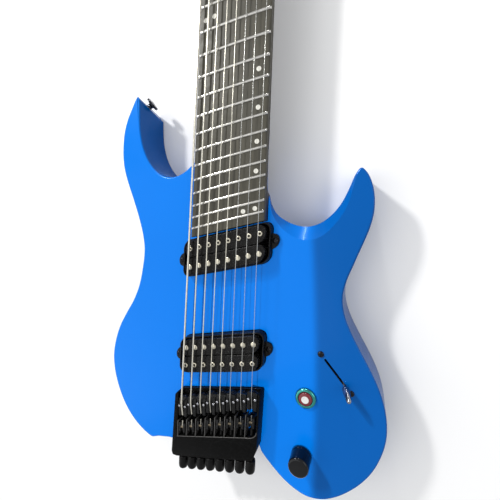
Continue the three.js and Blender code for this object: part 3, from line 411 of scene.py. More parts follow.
# Bevelled scoop along the treble cutaway.
BEVEL = [((37.0, 199), (34.8, 207), 2.5), ((39.0, 190.2), (37.0, 198.6), 4), ((43.6, 182), (41.8, 189.4), 6), ((50.2, 175), (49.0, 183.6), 7.6), ((60.6, 168.8), (60.0, 179.2), 9), ((69.4, 167.2), (68.6, 178.3), 9.4), ((77.8, 168.6), (76.0, 180.1), 9), ((85.2, 173), (81.6, 183.0), 8.4), ((91.6, 179.8), (86.6, 186.8), 7.6), ((97.6, 188.6), (92.2, 192.8), 6.4), ((102.2, 199), (97.4, 200.6), 5), ((105.2, 213), (102.8, 213.4), 3), ((107.4, 225.4), (106.9, 225.6), 1.2), ((108.4, 230.5), (108.0, 230.7), 0.6)]
rail = catmull([[*f, *w, d] for f, w, d in BEVEL], 2.2)
secs = []
for fx, fy, wx, wy, d in rail:
    f3, w3 = np.array([fx, fy, BODY_T]), np.array([wx, wy, BODY_T - d])
    L_ = np.linalg.norm(w3 - f3); s = (w3 - f3) / max(L_, 1e-6)
    a = f3 - s * 1.2; b = w3 + s * min(7.0, 3.0 + 0.4 * L_)
    secs.append([tuple(a), tuple(b), (b[0], b[1], 60.0), (a[0], a[1], 60.0)])
cut(body, loft("c_bevel", secs, M["body"]))
# Sculpted heel: the wall under the bevel leans in towards the back.
HEEL = [(35.4, 268, 44.9, 20.0, 268, 1, 0), (34.75, 246, 44.9, 19.2, 247, 1, 0), (35.05, 222, 44.9, 20.0, 223, 1, 0.1), (35.45, 209, 44.4, 21.5, 210, 0.98, 0.2), (36.3, 203.5, 38.6, 23.0, 204.5, 0.97, 0.25),
        (37.0, 199.2, 36.8, 25.0, 200, 0.95, 0.3), (37.9, 195.6, 36.2, 27.4, 196.2, 0.93, 0.36), (42.4, 188.4, 34.4, 31.6, 189.1, 0.78, 0.62), (50.8, 182.6, 32.6, 42.1, 182.1, 0.5, 0.87),
        (60, 179.2, 31.2, 52.9, 178.5, 0.2, 0.98), (68.2, 178.3, 30.8, 62.8, 177.5, 0, 1), (73.4, 179.4, 30.8, 72, 179.6, -0.2, 0.98)]
def heel_cutter():
    secs = []
    for a, b, c, d, e, ox, oy in catmull(HEEL, 2.0):
        secs.append([(a, b, c), (a + 7 * ox, b + 7 * oy, c), (a + 7 * ox, b + 7 * oy, -3), (d, e, -3)])
    return loft("c_heel", secs, M["body"])
cut(body, heel_cutter())
# Slanted seat of the strap button at the tip of the upper horn.
SEAT, SEAT_N = Vector((-110.75, 297.39, 23)), Vector((0.753, 0.635, -0.175)).normalized()
su = Vector((-0.071, -0.186, -0.98)); su = (su - SEAT_N * su.dot(SEAT_N)).normalized(); sv = SEAT_N.cross(su)
cut(body, loft("c_seat", [[tuple(SEAT + su * 45 * a + sv * 15 * b + SEAT_N * h) for a, b in ((-1, -1), (1, -1), (1, 1), (-1, 1))] for h in (0, 25)], M["body"]))

def slanted(p, hx, hy, r=0.0, dy=0.0, n=7):
    x0, y0, sl = p["x"], p["y"] + dy, p["slope"]
    if not r: return [(x0 + x, y0 + y + sl * x) for x, y in ((-hx, -hy), (hx, -hy), (hx, hy), (-hx, hy))]
    pts = []
    for sx, sy, a0 in ((1, -1, -90), (1, 1, 0), (-1, 1, 90), (-1, -1, 180)):
        for k in range(n + 1):
            a = math.radians(a0 + 90 * k / n)
            x, y = sx * (hx - r) + r * math.cos(a), sy * (hy - r) + r * math.sin(a)
            pts.append((x0 + x, y0 + y + sl * x))
    return pts

def shifted(p, d): return dict(p, x=p["x"] + d, y=p["y"] + d * p["slope"])
PICK = {"neck": dict(x=-1.2, y=152.6, slope=math.tan(math.radians(15)), top=51.0), "bridge": dict(x=-1.6, y=55.4, slope=math.tan(math.radians(14)), top=52.0)}
pe = lambda x: fret_y(24, x) - 7.6
pocket = [(-half_w(160) - .3, pe(-36) - .3), (half_w(176) + .3, pe(36) - .3), (half_w(262) + .3, 266), (-half_w(262) - .3, 266)]
cut(body, prism("c_pocket", pocket, 17.7, 48, M["body"]))
for p in PICK.values(): cut(body, prism("c_rout", slanted(shifted(p, -0.9), 44.1, 18.8, 8.4), 22, 45, M["rout"]))
CAVITY = [[68, -43], [90, -50], [110, -39], [125, -15], [131, 10], [128, 34], [117, 58], [103, 79], [90, 86], [77, 78], [68, 55], [64, 20], [64, -20]]
cav = catmull(CAVITY + CAVITY[:3], 2.0)
k0 = np.argmin(np.linalg.norm(cav[: len(cav) // 4] - np.array(CAVITY[1]), axis=1)); k1 = len(cav) // 2 + np.argmin(np.linalg.norm(cav[len(cav) // 2:] - np.array(CAVITY[1]), axis=1))
cav = resample(cav[k0:k1], 2.0, closed=True)
cut(body, prism("c_cav", [tuple(q) for q in cav], -2, 34, M["rout"]))
cut(body, prism("c_reb", [tuple(q) for q in inset(cav, -5)], -2, 3.0, M["rout"]))
KNOB, BUTTON, SWITCH = (79.6, -24.3), (79.7, 29.5), (102.9, 57.2)
SD = Vector((0.682, -0.731, 0)).normalized(); SA = Vector((0.731, 0.682, 0)).normalized()
def sw(u, v, z): return (SWITCH[0] + SD.x * u + SA.x * v, SWITCH[1] + SD.y * u + SA.y * v, z)
def slot_pts(hl, hw, n=8):
    pts = []
    for s in (1, -1):
        for k in range(n + 1):
            a = -math.pi / 2 + math.pi * k / n
            pts.append((s * (hl - hw) + s * hw * math.cos(a), s * hw * math.sin(a)))
    return [sw(u, v, 0)[:2] for u, v in pts]
def cyl(name, r, x, y, z0, z1, mat, seg=40): return lathe(name, [(0, 0), (r, 0), (r, z1 - z0), (0, z1 - z0)], (x, y, z0), (0, 0, 1), mat, seg)
cut(body, cyl("c_pot", 5.1, *KNOB, 30, 44, M["rout"]))
cut(body, cyl("c_btn", 8.0, *BUTTON, 30, 44, M["rout"]))
# The slot and jack bore cutters leave near-black walls: painted shade in the holes.
cut(body, prism("c_slot", slot_pts(14.5, 1.0), 30, 44, M["hole"]))
cut(body, lathe("c_jack", [(0, 0), (5.1, 0), (5.1, 30), (0, 30)], (120, 15, 19), (1, 0, 0), M["hole"], 32))
cut(body, lathe("c_jack2", [(0, 0), (10.6, 0), (10.6, 9), (0, 9)], (142.6, 15, 19), (1, 0, 0), M["body"], 48))
cut(body, boxo("c_plate", -26.3, 26.3, 167.7, 200.3, -2, 2.6, M["body"]))
smooth(body, 28, weighted=True)
place(body, "root", "body", "body")

# ------------------------------------------------------------------ neck, fretboard, frets, inlays, nut
NT = 44.9
def neck_ring(y, bottom, square, w=None, n=56):
    w = half_w(y) if w is None else w
    dd = 1.1 + 1.1 * square; ws = w - 0.35 * (1 - square)
    pts = [(w, y, NT), (ws, y, NT - dd)]
    for k in range(1, n):
        t = k / n; a = math.pi * t
        c = (ws * math.cos(a), NT - dd - (NT - dd - bottom) * math.sin(a))
        if t < 0.34: q = (w, NT - 2.2 + (bottom + 3 - NT + 2.2) * t / 0.34)
        elif t > 0.66: q = (-w, bottom + 3 + (NT - 2.2 - bottom - 3) * (t - 0.66) / 0.34)
        else:
            s = (t - 0.34) / 0.32; q = (w - 2 + (4 - 2 * w) * s, bottom)
        pts.append((c[0] * (1 - square) + q[0] * square, y, c[1] * (1 - square) + q[1] * square))
    return pts + [(-ws, y, NT - dd), (-w, y, NT)]
ss = lambda t: t * t * (3 - 2 * t)
secs = [neck_ring(140, 18, 1, half_w(150)), neck_ring(236, 18, 1), neck_ring(243, 20, 1)]
for k in range(1, 9):
    t = k / 8; secs.append(neck_ring(243 + 19 * t, 20 + 7.9 * ss(t), 1 - ss(t)))
for k in range(1, 6):
    t = k / 5; secs.append(neck_ring(262 + 28 * t, 27.9 + 1.6 * ss(t), 0))
for k in range(1, 31):
    t = k / 30; secs.append(neck_ring(290 + 365 * t, 29.5 + 2.0 * t, 0))
for k in range(1, 7):
    t = k / 6; secs.append(neck_ring(655 + 35 * t, 31.5 - 0.8 * t, 0))
for k in range(1, 9):
    t = k / 8; secs.append(neck_ring(690 + 14 * t, 30.7 - 1.1 * ss(t), ss(t), half_w(690) + (28.5 - half_w(690)) * ss(t)))
secs.append(neck_ring(755, 29.6, 1, 27.5))
neck = loft("neck_shaft", secs, M["neck"])
cut(neck, prism("c1", [(-60, 100), (60, 100), (60, pe(60)), (-60, pe(-60))], 0, 60))
cut(neck, prism("c2", [(-50, head_y(-50, 40)), (50, head_y(50, 40)), (50, 800), (-50, 800)], 0, 60))
cut(neck, prism("c3", [(-50, head_y(-50, 5.2)), (50, head_y(50, 5.2)), (50, 800), (-50, 800)], 42.6, 60))
cut(neck, heel_cutter())
cut(neck, boxo("c4", -3.4, 3.4, 186, 664, 34.7, 50))
bevel(neck, 0.6, 2, 50)
smooth(neck, 32, weighted=True)
place(neck, "root", "neck", "neck")

RAD, CROWN = 508.0, 51.25
def top_z(x): return CROWN - x * x / (2 * RAD)
def board_end(x): return fret_y(24, x) - 8.2
secs = []
yl0, yr0 = board_end(-half_w(165)), board_end(half_w(182))
yl1, yr1 = head_y(-half_w(690), -0.4), head_y(half_w(676), -0.4)
for j in range(61):
    t = j / 60
    a, b = yl0 + (yl1 - yl0) * t, yr0 + (yr1 - yr0) * t
    xa, xb = -half_w(a), half_w(b)
    ring = [(xa, 45.2), (xa, top_z(xa) - 1.1)]
    for k in range(1, 4):
        an = math.pi / 2 * k / 4; ring.append((xa + 1.1 * (1 - math.cos(an)), top_z(xa) - 1.1 + 1.08 * math.sin(an)))
    for k in range(17):
        x = xa + 1.2 + (xb - xa - 2.4) * k / 16; ring.append((x, top_z(x)))
    for k in range(3, 0, -1):
        an = math.pi / 2 * k / 4; ring.append((xb - 1.1 * (1 - math.cos(an)), top_z(xb) - 1.1 + 1.08 * math.sin(an)))
    ring += [(xb, top_z(xb) - 1.1), (xb, 45.2)]
    secs.append([(x, a + (b - a) * (x - xa) / (xb - xa), z) for x, z in ring])
board = loft("fingerboard", secs, M["board"])
bevel(board, 0.5, 2, 60)
smooth(board, 35, weighted=True)
place(board, "root", "board", "fretboard")

PROF = [(-1.25, -0.45), (-1.25, 0.12), (-1.05, 0.55), (-0.7, 0.86), (-0.3, 1.03), (0, 1.07), (0.3, 1.03), (0.7, 0.86), (1.05, 0.55), (1.25, 0.12), (1.25, -0.45)]
frets = []
for n in range(1, 25):
    k = 2 ** (-n / 12)
    w = half_w((SB * k + OFFS + ST * k) / 2)
    yl = fret_y(n, -w); wl, wr = half_w(fret_y(n, -w)) - 0.35, half_w(fret_y(n, w)) - 0.35
    xs = [-wl, -wl + .15, -wl + .5, -wl + 1.0, -wl + 1.7] + [(-wl + 1.7) + (wr + wl - 3.4) * q / 14 for q in range(1, 14)] + [wr - 1.7, wr - 1.0, wr - .5, wr - .15, wr]
    fac = [.25, .55, .8, .94, 1] + [1] * 13 + [1, .94, .8, .55, .25]
    secs = []
    for x, f in zip(xs, fac):
        y = fret_y(n, x)
        secs.append([(x, y + u * (0.6 + 0.4 * f), top_z(x) + (v * f if v > 0 else v)) for u, v in PROF])
    frets.append(loft("f", secs, M["fret"]))
frets = join("frets", frets)
smooth(frets, 50)
place(frets, "root", "fret")

DOTS = [(27.1, 191.7), (16.5, 188.8), (26.4, 223.1), (25.9, 247.5), (25.5, 275.0), (24.5, 305.5), (-18.5, 353.9), (-27.0, 352.2)]
def mid(n, x): return (fret_y(n, x) + fret_y(n - 1, x)) / 2
for n in (9, 7, 5, 3):
    x = -half_w(mid(n, -24)) + 8.2; DOTS.append((x, mid(n, x)))
dots = []
for x, y in DOTS:
    nrm = Vector((x / RAD, 0, 1)).normalized()
    dots.append(lathe("d", [(0, -1.2), (2.05, -1.2), (2.05, 0.015), (1.9, 0.05), (0, 0.06)], (x, y, top_z(x)), nrm, M["dot"], 28))
dots = join("inlay_dots", dots); smooth(dots, 40); place(dots, "root", "dot")

pr = [(-27.4, 45.2), (-27.4, 52.9), (-26.9, 53.4)]
for i in range(8):
    x, r = nut_x(i), R_STR[i] + 0.12
    pr += [(x - r, 53.5)] + [(x - r * math.cos(a), 52.62 + r - r * math.sin(a) - 0.1) for a in np.linspace(0.2, math.pi - 0.2, 7)] + [(x + r, 53.5)]
pr += [(26.9, 53.4), (27.4, 52.9), (27.4, 45.2)]
nut = loft("nut_bar", [[(x, head_y(x, d), z - s * (z > 50)) for x, z in pr] for d, s in ((0.0, 0.25), (0.3, 0.0), (3.6, 0.0), (4.4, 0.6))], M["nut"])
smooth(nut, 35); place(nut, "root", "nut", "nut")

head = refine("headpiece_block", "headpiece", M["base"], 0.8, 3, 40, 40)
place(head, "root", "base", "headpiece")
def cap_screw(name, at, d, r, mat, hexr=None, h=1.6, depth=0.9, seg=24, dome=0.3):
    """Socket-head screw seen from the front: rim, chamfer, hexagonal hollow."""
    hx = hexr or r * 0.52
    prof = [(0, -h), (r, -h), (r, -dome), (r - dome * .35, -dome * .35), (r - dome, 0), (hx * 1.06, 0), (hx, -0.12), (hx, -depth), (0, -depth - 0.25)]
    def rad(k, hh, rr): 
        if rr > hx * 1.02: return 1.0
        a = (2 * math.pi * k / seg) % (math.pi / 3) - math.pi / 6
        return math.cos(math.pi / 6) / math.cos(a) * 1.06
    o = lathe(name, prof, at, d, mat, seg, rad)
    return o
hs = [cap_screw("h", (nut_x(i), head_y(nut_x(i), 22 if i % 2 == 0 else 15), 54.7), (0, 0, 1), 2.5, M["screw_black"], 1.25, 2.4) for i in range(8)]
hs = join("head_clamp_screws", hs); smooth(hs, 35); place(hs, "root", "screw_black")

# ------------------------------------------------------------------ strings
for i in range(8):
    x, y, xn, yn, r = saddle_x(i), saddle_y(i), nut_x(i), nut_y(i), R_STR[i]
    key = [(x, y - 13.5, 52.2), (x, y - 9.5, 53.05), (x, y - 6, 53.85), (x, y - 3.0, 54.5), (x, y - 1.2, 54.86), (x, y + 0.2, 55.0)]
    a, b = Vector((x, y, 55)), Vector((xn, yn + 2, nut_z(i)))
    dirn = b - a
    key += [tuple(a + dirn * t) for t in (0.003, 0.006, 0.012)]
    key += [tuple(a + dirn * t) for t in np.linspace(0.03, 0.985, 40)]
    key += [tuple(a + dirn * t) for t in (0.992, 0.996, 1.0)]
    key += [(xn, yn + 3.2, nut_z(i) - 0.02), (xn, yn + 4.4, nut_z(i) - 0.12), (xn, yn + 5.4, nut_z(i) - 0.45), (xn, yn + 6.8, 51.2), (xn, yn + 8, 50.72), (xn, yn + 9.2, 50.6), (xn, yn + 18, 50.6)]
    mat = "wound" if i < 5 else "plain"
    s = tube("string_wire_%d" % (i + 1), key, r, M[mat], 14)
    smooth(s, 60)
    place(s, "root", mat, "string_%d" % (i + 1))

# ------------------------------------------------------------------ bridge
base = refine("bridge_frame", "bridge_base", M["base"], 0.55, 3, 40, 35)
place(base, "root", "base", "bridge_base")
# Painted highlight: the real fins and the two edge tubes below get a light grey metal on the black bridge so that they
# read as lit edges.
M["fin"] = material("fin_edge", lin((92, 91, 90)), 0.4, 0.6, dark=0.75, light=1.2, scale=300, bump=0.2, bscale=2000, dist=0.03, wear=(lin((150, 150, 150)), 1200.0, 0.6, 0.5))
fins = []
for i in range(8):
    x = saddle_x(i) - 5.145 + (0.25 if i == 0 else 0)
    y1, y0 = saddle_y(i) - 20.5, block_front(x) - 0.6
    fins.append(bevel(prism("fin", [(x - .3, y0), (x + .3, y0), (x + .3, y1), (x - .3, y1)], 43.6, 53.2, M["fin"]), 0.12, 2))
fins = join("bridge_fins", fins); smooth(fins, 40); place(fins, "root", "base")
# Painted highlights: thin light-grey tubes along the rear block's front top edge and along the base's front edge stand
# in for the light caught on those edges.
ed = [(-43.4, block_front(-43.4) - 0.55)] + [(x, block_front(x) - 0.55) for x in np.linspace(-40, 35.5, 12)] + [(37.2, block_front(37.2) - 0.1), (38.6, block_front(38.6) + 0.9), (39.9, block_front(39.9) + 2.4), (40.2, block_front(40.2) + 4.6)]
ed = catmull(ed, 0.8)
edge = tube("bridge_edge_chamfer", [(x, y, 52.78) for x, y in ed], 0.36, M["fin"], 10); smooth(edge, 60); place(edge, "root", "base")
fe = catmull([(x, front_y(x) - 0.3) for x in np.linspace(-44.4, 40.2, 14)], 1.5)
fedge = tube("bridge_front_chamfer", [(x, y, 43.5) for x, y in fe], 0.34, M["fin"], 10); smooth(fedge, 60); place(fedge, "root", "base")

def pan_screw(name, at, d, r, mat, h=1.1, cross=True, body_len=2.0, seg=28):
    """Domed screw with a cross-shaped hollow."""
    prof = [(0, -body_len), (r * .5, -body_len), (r * .5, 0), (r * .96, 0), (r, h * .25), (r * .93, h * .6), (r * .72, h * .88), (r * .4, h), (0, h * 1.02)]
    o = lathe(name, prof, at, d, mat, seg)
    if cross:
        u, w, dd = basis(d); at = Vector(at)
        for a, b in ((u, w), (w, u)):
            L_, W_ = r * .62, r * .13
            # the cross recess walls take the near-black of the cutter: painted shade
            c = new_obj("c", [at + a * sx_ * L_ + b * sy_ * W_ + dd * z for z in (h * .35, h * 2) for sx_, sy_ in ((-1, -1), (1, -1), (1, 1), (-1, 1))],
                        [[3, 2, 1, 0], [4, 5, 6, 7], [0, 1, 5, 4], [1, 2, 6, 5], [2, 3, 7, 6], [3, 0, 4, 7]], M["hole"])
            cut(o, c)
    return o

for i in range(8):
    n = i + 1; x, y = saddle_x(i), saddle_y(i)
    s = refine("saddle_block_%d" % n, "saddle_%d" % n, M["saddle"], 0.5, 3, 35, 35)
    hsx = []
    for dx, dy in ((-3.3, -4.3), (3.1, -3.7)):
        hsx.append(cap_screw("hs", (x + dx, y + dy, 54.05), (0, 0, 1), 1.12, M["screw"], 0.5, 2.2, 0.5, 18, 0.25))
    hsx.append(cap_screw("is", (x, min(y + 4.2, front_y(x) - 1.0) + 0.55, 47.2), (0, 1, 0), 1.5, M["screw_black"], 0.75, 0.9, 0.5, 18, 0.2))
    sc = join("saddle_screws_%d" % n, hsx); smooth(sc, 35)
    place(s, "saddle_%d" % n, "saddle", "saddle_%d" % n); place(sc, "saddle_%d" % n, "screw")
    c = refine("carriage_block_%d" % n, "tuner_carriage_%d" % n, M["carriage"], 0.4, 3, 35, 35)
    place(c, "carriage_%d" % n, "carriage", "tuner_carriage_%d" % n)
    cf = y - 22; cr = max(cf - 9, block_front(x) + 4.2)
    # ball end in the carriage, with the short wire that runs forward from it
    ball = lathe("ball", [(0.75, -1.7), (1.15, -1.7), (1.28, -1.2), (1.1, -0.4), (1.1, 0.4), (1.28, 1.2), (1.15, 1.7), (0.75, 1.7), (0.75, -1.7)][:-1], (x, (cf + cr) / 2, 52.25), (1, 0, 0), M["ball"], 20)
    wire = tube("w", [(x, (cf + cr) / 2 + 1.0, 52.0), (x, cf - 0.5, 51.9), (x, cf + 2.4, 51.95)], max(0.3, R_STR[i] * 0.8), M["wound" if i < 5 else "plain"], 10)
    bw_ = join("string_end_%d" % n, [ball, wire]); smooth(bw_, 45); place(bw_, "carriage_%d" % n, "screw")
    kf = rear_y(x) - 1.6; kl = 13.2; L_ = kl + (cf - 0.6 - kf)
    prof = [(0, 1.4), (1.2, 1.4), (1.25, 0.05), (1.5, 0), (2.6, 0.05), (3.5, 0.35), (4.15, 0.95), (4.55, 1.9), (4.7, 3.2), (4.7, 10.3), (4.62, 10.55), (4.45, 10.65), (4.45, 11.05), (4.6, 11.15), (4.6, 12.0), (4.3, 12.7), (3.6, 13.1), (3.0, 13.2), (1.75, 13.2)]
    h = 14.3
    while h < L_ - 0.9: prof += [(1.78, h), (1.52, h + 0.35)]; h += 0.7
    prof += [(1.7, L_ - 0.5), (1.4, L_), (0, L_)]
    def rad(k, hh, rr): return 1.0 - (0.014 * (1 - math.cos(2 * math.pi * k / 60 * 20)) / 2 if 3.6 < hh < 10.2 and rr > 4.6 else 0) if rr > 1.3 else (math.cos(math.pi / 6) / math.cos((2 * math.pi * k / 60) % (math.pi / 3) - math.pi / 6) * 1.1)
    k = lathe("tuner_thumb_%d" % n, prof, (x, kf - kl, 48), (0, 1, 0), M["knob_t"], 60, rad)
    smooth(k, 38); place(k, "tuner_%d" % n, "knob_t", "tuner_knob_%d" % n)

for nm, pts_ in (("bridge_mount_screw_a", (32.3, -11.0)), ("bridge_mount_screw_b", (24.3, -13.0))):
    o = pan_screw(nm, (pts_[0], pts_[1], 40.35), (0, 0, 1), 2.0, M["screw"], 1.2); smooth(o, 40); place(o, "root", "screw")

# ------------------------------------------------------------------ pickups
for name, p in PICK.items():
    parts = []
    h_ = shifted(p, -0.9)
    t = prism("tray", slanted(h_, 43.5, 18.2, 8, n=10), 30, p["top"] - 4.3, M["tray"])
    cut(t, prism("c", slanted(h_, 42.1, 16.8, 6.8, n=10), 31.6, 60, M["tray"])); bevel(t, 0.35, 2, 40)
    parts.append(t)
    for s in (1, -1):
        c = 45.2 - 1.3 * s
        loop = [(36.5, -8.2), (41, -7.9), (c, -6.9), (c + 3.9, -4.6), (c + 5.5, 0), (c + 3.9, 4.6), (c, 6.9), (41, 7.9), (36.5, 8.2)]
        loop = [tuple(q) for q in catmull(loop, 0.9)]
        e = prism("ear", [(p["x"] + s * a, p["y"] + b + p["slope"] * s * a) for a, b in loop], 40.3, 42.5, M["tray"])
        cut(e, prism("c", slanted(h_, 42.1, 16.8, 6.8, n=10), 31.6, 60, M["tray"])); bevel(e, 0.55, 3, 50)
        parts.append(e)
    tray = join("%s_tray" % name, parts); smooth(tray, 35); place(tray, "root", "tray", "%s_pickup_base" % name)
    es = []
    for s in (1, -1):
        a = s * 47.5 - 1.3
        es.append(pan_screw("es", (p["x"] + a, p["y"] + p["slope"] * a, 42.5), (0, 0, 1), 2.3, M["screw_black"], 1.3))
        es.append(lathe("sp", [(1.3, -0.2), (2.9, -0.2), (3.0, 0.1), (2.8, 0.25), (1.3, 0.25), (1.3, -0.2)][:-1], (p["x"] + a, p["y"] + p["slope"] * a, 42.45), (0, 0, 1), M["tray"], 32))
    es = join("%s_ear_screws" % name, es); smooth(es, 38); place(es, "root", "screw_black")
    for tag, s in (("screw", 1 if name == "neck" else -1), ("slug", -1 if name == "neck" else 1)):
        b = prism("bobbin", slanted(p, 39.4, 8.15, 7.7, s * 8.42, 12), 32, p["top"], M["bobbin"])
        bevel(b, 0.7, 3, 50); smooth(b, 35, weighted=True); b.name = "%s_%s_bobbin" % (name, tag)
        place(b, "root", "bobbin", "%s_pickup_%s_bobbin" % (name, tag))
        poles = []
        for i in range(8):
            dx = (i - 3.5) * 9.79; at = (p["x"] + dx, p["y"] + s * 8.72 + p["slope"] * dx)
            poles.append(lathe("rim", [(2.35, -0.6), (2.95, -0.6), (2.95, 0.02), (2.8, 0.09), (2.45, 0.09), (2.35, 0.02), (2.35, -0.6)][:-1], (*at, p["top"]), (0, 0, 1), M["bobbin"], 32))
            if tag == "screw":
                poles.append(cap_screw("p", (*at, p["top"] + 0.75), (0, 0, 1), 2.3, M["pole"], 1.12, 2.2, 0.9, 30, 0.4))
                # near-black disc at the bottom of the hex socket: painted shade
                poles.append(cyl("ph", 1.2, *at, p["top"] - 0.6, p["top"] - 0.12, M["hole"], 18))
            else:
                poles.append(lathe("p", [(0, -1.2), (2.35, -1.2), (2.35, 0.12), (2.1, 0.3), (0, 0.36)], (*at, p["top"]), (0, 0, 1), M["pole"], 32))
        poles = join("%s_%s_poles" % (name, tag), poles); smooth(poles, 35); place(poles, "root", "pole")

# ------------------------------------------------------------------ controls
kx, ky = KNOB
k = lathe("volume_cap", [(0, 12.7), (3.3, 12.7), (3.3, 2.4), (7.4, 2.4), (7.4, 0.05), (7.7, 0), (8.7, 0), (9.08, 0.15), (9.2, 0.55), (9.2, 2.0), (9.12, 2.4), (8.95, 2.7), (8.9, 3.2), (8.88, 13.3), (8.75, 14.3), (8.35, 15.0), (7.7, 15.38), (6.6, 15.5), (3.5, 15.56), (0, 15.6)], (kx, ky, 41), (0, 0, 1), M["knob_v"], 96)
smooth(k, 42); place(k, "volume", "knob_v", "volume_knob")
ss_ = cap_screw("volume_set_screw", (kx, ky - 8.93, 46), (0, -1, 0), 1.4, M["screw_black"], 0.75, 0.9, 0.5, 24, 0.2); smooth(ss_, 38); place(ss_, "volume", "screw_black")
bx, by = BUTTON
ring = lathe("button_bezel", [(6.35, 1.0), (6.35, 2.0), (6.5, 2.25), (6.8, 2.32), (7.5, 2.3), (8.2, 2.1), (8.75, 1.65), (9.05, 1.0), (9.15, 0.35), (9.1, 0.0), (7.7, 0.0), (7.7, -18.0), (6.35, -18.0)], (bx, by, 40.3), (0, 0, 1), M["ring"], 96)
me = ring.data
bm = bmesh.new(); bm.from_mesh(me)
bmesh.ops.delete(bm, geom=[f for f in bm.faces if len(f.verts) > 6], context="FACES_ONLY")
be = [e for e in bm.edges if e.is_boundary]
bmesh.ops.bridge_loops(bm, edges=be)
bmesh.ops.recalc_face_normals(bm, faces=bm.faces); bm.to_mesh(me); bm.free()
smooth(ring, 40); place(ring, "root", "ring", "button_housing")
cap = lathe("button_face", [(0, 0), (6.0, 0), (6.0, 6.9), (5.9, 7.4), (5.55, 7.85), (4.9, 8.1), (3.4, 8.28), (0, 8.4)], (bx, by, 35.6), (0, 0, 1), M["red"], 72)
mark = lathe("mk", [(2.35, 0), (3.2, -0.02), (3.2, 0.08), (3.1, 0.11), (2.45, 0.13), (2.35, 0.10)], (bx, by, 43.93), (0, 0, 1), M["white"], 48)
cap = join("button_face", [cap, mark]); smooth(cap, 40); place(cap, "button", "red", "button_cap")

a24 = math.radians(24)
td = Vector((SD.x * math.sin(a24), SD.y * math.sin(a24), math.cos(a24)))
tb = Vector(sw(0, 0, 14)) + td * 31.4
tip = lathe("selector_tip", [(0, 0), (2.4, 0), (2.75, 0.15), (2.95, 0.5), (3.0, 1.2), (3.0, 3.2), (2.9, 4.6), (2.55, 7.6), (2.2, 10.4), (2.0, 12.0), (1.8, 12.9), (1.4, 13.6), (0.8, 13.92), (0, 14.0)], tb, td, M["tip"], 64)
smooth(tip, 45); place(tip, "selector", "tip", "switch_tip")
for nm, u in (("selector_screw_a", -19.4), ("selector_screw_b", 19.4)):
    o = pan_screw(nm, sw(u, 0, 40.0), (0, 0, 1), 2.7, M["screw_black"], 1.3, True, 8.0); smooth(o, 40); place(o, "root", "screw_black")

# ------------------------------------------------------------------ edge and back hardware
SP = [(0, 0), (2.8, 0), (2.9, 0.15), (2.8, 1.2), (2.8, 2.2), (3.0, 2.7), (3.6, 3.1), (5.2, 3.5), (6.5, 3.85), (6.92, 4.25), (7.0, 4.8), (6.96, 5.4), (6.7, 6.0), (6.2, 6.38), (5.4, 6.5), (2.2, 6.5), (2.0, 6.2), (0, 6.0)]
for nm, at, d, node in (("strap_pin_upper", tuple(SEAT + SEAT_N * 0.35), tuple(SEAT_N), "strap_button_upper"), ("strap_pin_lower", (87, -63.2, 20), (0, -1, 0), "strap_button_lower")):
    o = lathe(nm, SP, at, d, M["chrome"], 56); smooth(o, 40); place(o, "root", "chrome", node)
    u, w, dd = basis(d)
    s = pan_screw(nm + "_screw", Vector(at) + dd * 5.9, d, 1.9, M["screw_black"], 0.75, True, 1.5); smooth(s, 40); place(s, "root", "screw_black")
o = refine("jack_socket", "output_jack", M["chrome"], 0.3, 2, 40, 40); place(o, "root", "chrome", "output_jack")
o = refine("cavity_cover", "control_cover", M["cover"], 0.35, 2, 50, 35); place(o, "root", "cover", "control_cover")
o = refine("heel_plate", "neck_plate", M["chrome"], 0.4, 3, 40, 40); place(o, "root", "chrome", "neck_plate")
cs = []
rim = inset(cav, -2.2)
for t in (0.02, 0.2, 0.38, 0.55, 0.72, 0.88):
    q = rim[int(t * len(rim))]; cs.append(pan_screw("cs", (q[0], q[1], 0.55), (0, 0, -1), 1.9, M["screw_black"], 0.5, True, 1.5))
cs = join("cover_screws", cs); smooth(cs, 40); place(cs, "root", "screw_black")
ns = [pan_screw("ns", (sx_ * 18.5, 184 + sy_ * 9.5, 0.8), (0, 0, -1), 3.2, M["screw_black"], 0.75, True, 1.5) for sx_ in (-1, 1) for sy_ in (-1, 1)]
ns = join("heel_bolts", ns); smooth(ns, 40); place(ns, "root", "screw_black")

for n, key in {"truss_rod": "steel", "volume_pot": "steel", "volume_shaft": "steel", "button_spring": "steel", "switch_frame": "steel", "switch_lever": "steel"}.items():
    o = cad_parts[n]
    for sl in o.material_slots: sl.material = M[key]

# ------------------------------------------------------------------ floor, light, camera
def floor_mat():
    m = material("pale_floor", (0.91, 0.91, 0.912, 1), 0.75, 0.0, dark=0.985, light=1.01, scale=3.0, rvar=0.05, bump=0.04, bscale=600, dist=0.05, spec=0.2)
    return m
fl = new_obj("floor", [(-3000, -3000, -0.3), (3000, -3000, -0.3), (3000, 3000, -0.3), (-3000, 3000, -0.3)], [[0, 1, 2, 3]], floor_mat())
world = bpy.data.worlds.new("w"); scene.world = world; world.use_nodes = True
bg = world.node_tree.nodes["Background"]; bg.inputs[0].default_value = (0.98, 0.99, 1.0, 1); bg.inputs[1].default_value = 0.62

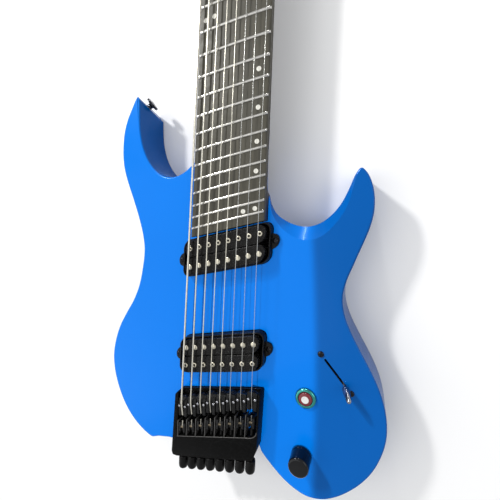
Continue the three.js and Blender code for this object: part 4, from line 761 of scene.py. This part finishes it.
def area(name, loc, target, size, power, color=(1, 1, 1), sy=None):
    l = bpy.data.lights.new(name, "AREA"); l.energy = power; l.color = color; l.size = size
    if sy: l.shape = "RECTANGLE"; l.size_y = sy
    o = bpy.data.objects.new(name, l); coll.objects.link(o)
    o.location = loc; o.rotation_mode = "QUATERNION"
    o.rotation_quaternion = (Vector(target) - Vector(loc)).to_track_quat("-Z", "Y")
    return o
area("key", (-0.70, 0.85, 0.78), (0.03, 0.05, 0.03), 0.11, 9.5, (1.0, 0.99, 0.97))
area("softbox", (-0.9, -0.2, 1.2), (0.0, 0.1, 0.0), 1.4, 7.0, (1.0, 1.0, 1.0), 2.0)
area("fill", (1.3, 0.5, 1.1), (0.1, 0.2, 0.0), 1.0, 5.0, (1.0, 1.0, 1.0))
# Two flagged spots shape the light on the body face; both are linked to the body alone.
lit = bpy.data.collections.new("lit_body"); lit.objects.link(body)
def spot(name, loc, target, edge, power, blend):
    l = bpy.data.lights.new(name, "SPOT"); l.energy = power; l.shadow_soft_size = 0.004; l.spot_blend = blend
    a, b = Vector(target) - Vector(loc), Vector(edge) - Vector(loc)
    l.spot_size = 2 * a.angle(b)
    o = bpy.data.objects.new(name, l); coll.objects.link(o)
    o.location = loc; o.rotation_mode = "QUATERNION"; o.rotation_quaternion = a.to_track_quat("-Z", "Y")
    o.light_linking.receiver_collection = lit
    o.visible_glossy = False
    return o
spot("flag_left", (0.05, 0.09, 6.0), (-1.9, -0.076, 0.04), (0.0865, 0.0926, 0.04), 2250.0, 0.006)
spot("flag_low", (0.05, 0.0, 5.0), (0.05, -1.4, 0.04), (0.05, 0.17, 0.04), 330.0, 0.26)
kb = area("key_body", (-0.78, 1.12, 0.77), (0.08, -0.02, 0.05), 0.07, 21.0, (1.0, 1.0, 1.0))
kb.light_linking.receiver_collection = lit
area("rim", (-0.11, 1.15, 0.23), (0.068, 0.172, 0.036), 0.06, 2.2, (1.0, 1.0, 1.0), 0.2)

cam = bpy.data.cameras.new("cam"); co = bpy.data.objects.new("cam", cam); coll.objects.link(co)
RM = [[0.9306907, 0.0496883, -0.3624167], [0.0799546, -0.9944083, 0.0689884], [-0.3569623, -0.0931837, -0.9294594]]
rot = Matrix([[RM[0][k], -RM[1][k], -RM[2][k]] for k in range(3)])
co.matrix_world = Matrix.Translation(Vector((0.11452, 0.17931, 0.28469))) @ rot.to_4x4()
cam.sensor_width = 36.0; cam.lens = 36.0 * 290 / 500; cam.clip_start = 0.01; cam.clip_end = 50.0
scene.camera = co
scene.view_settings.view_transform = "Standard"
scene.view_settings.look = "None"
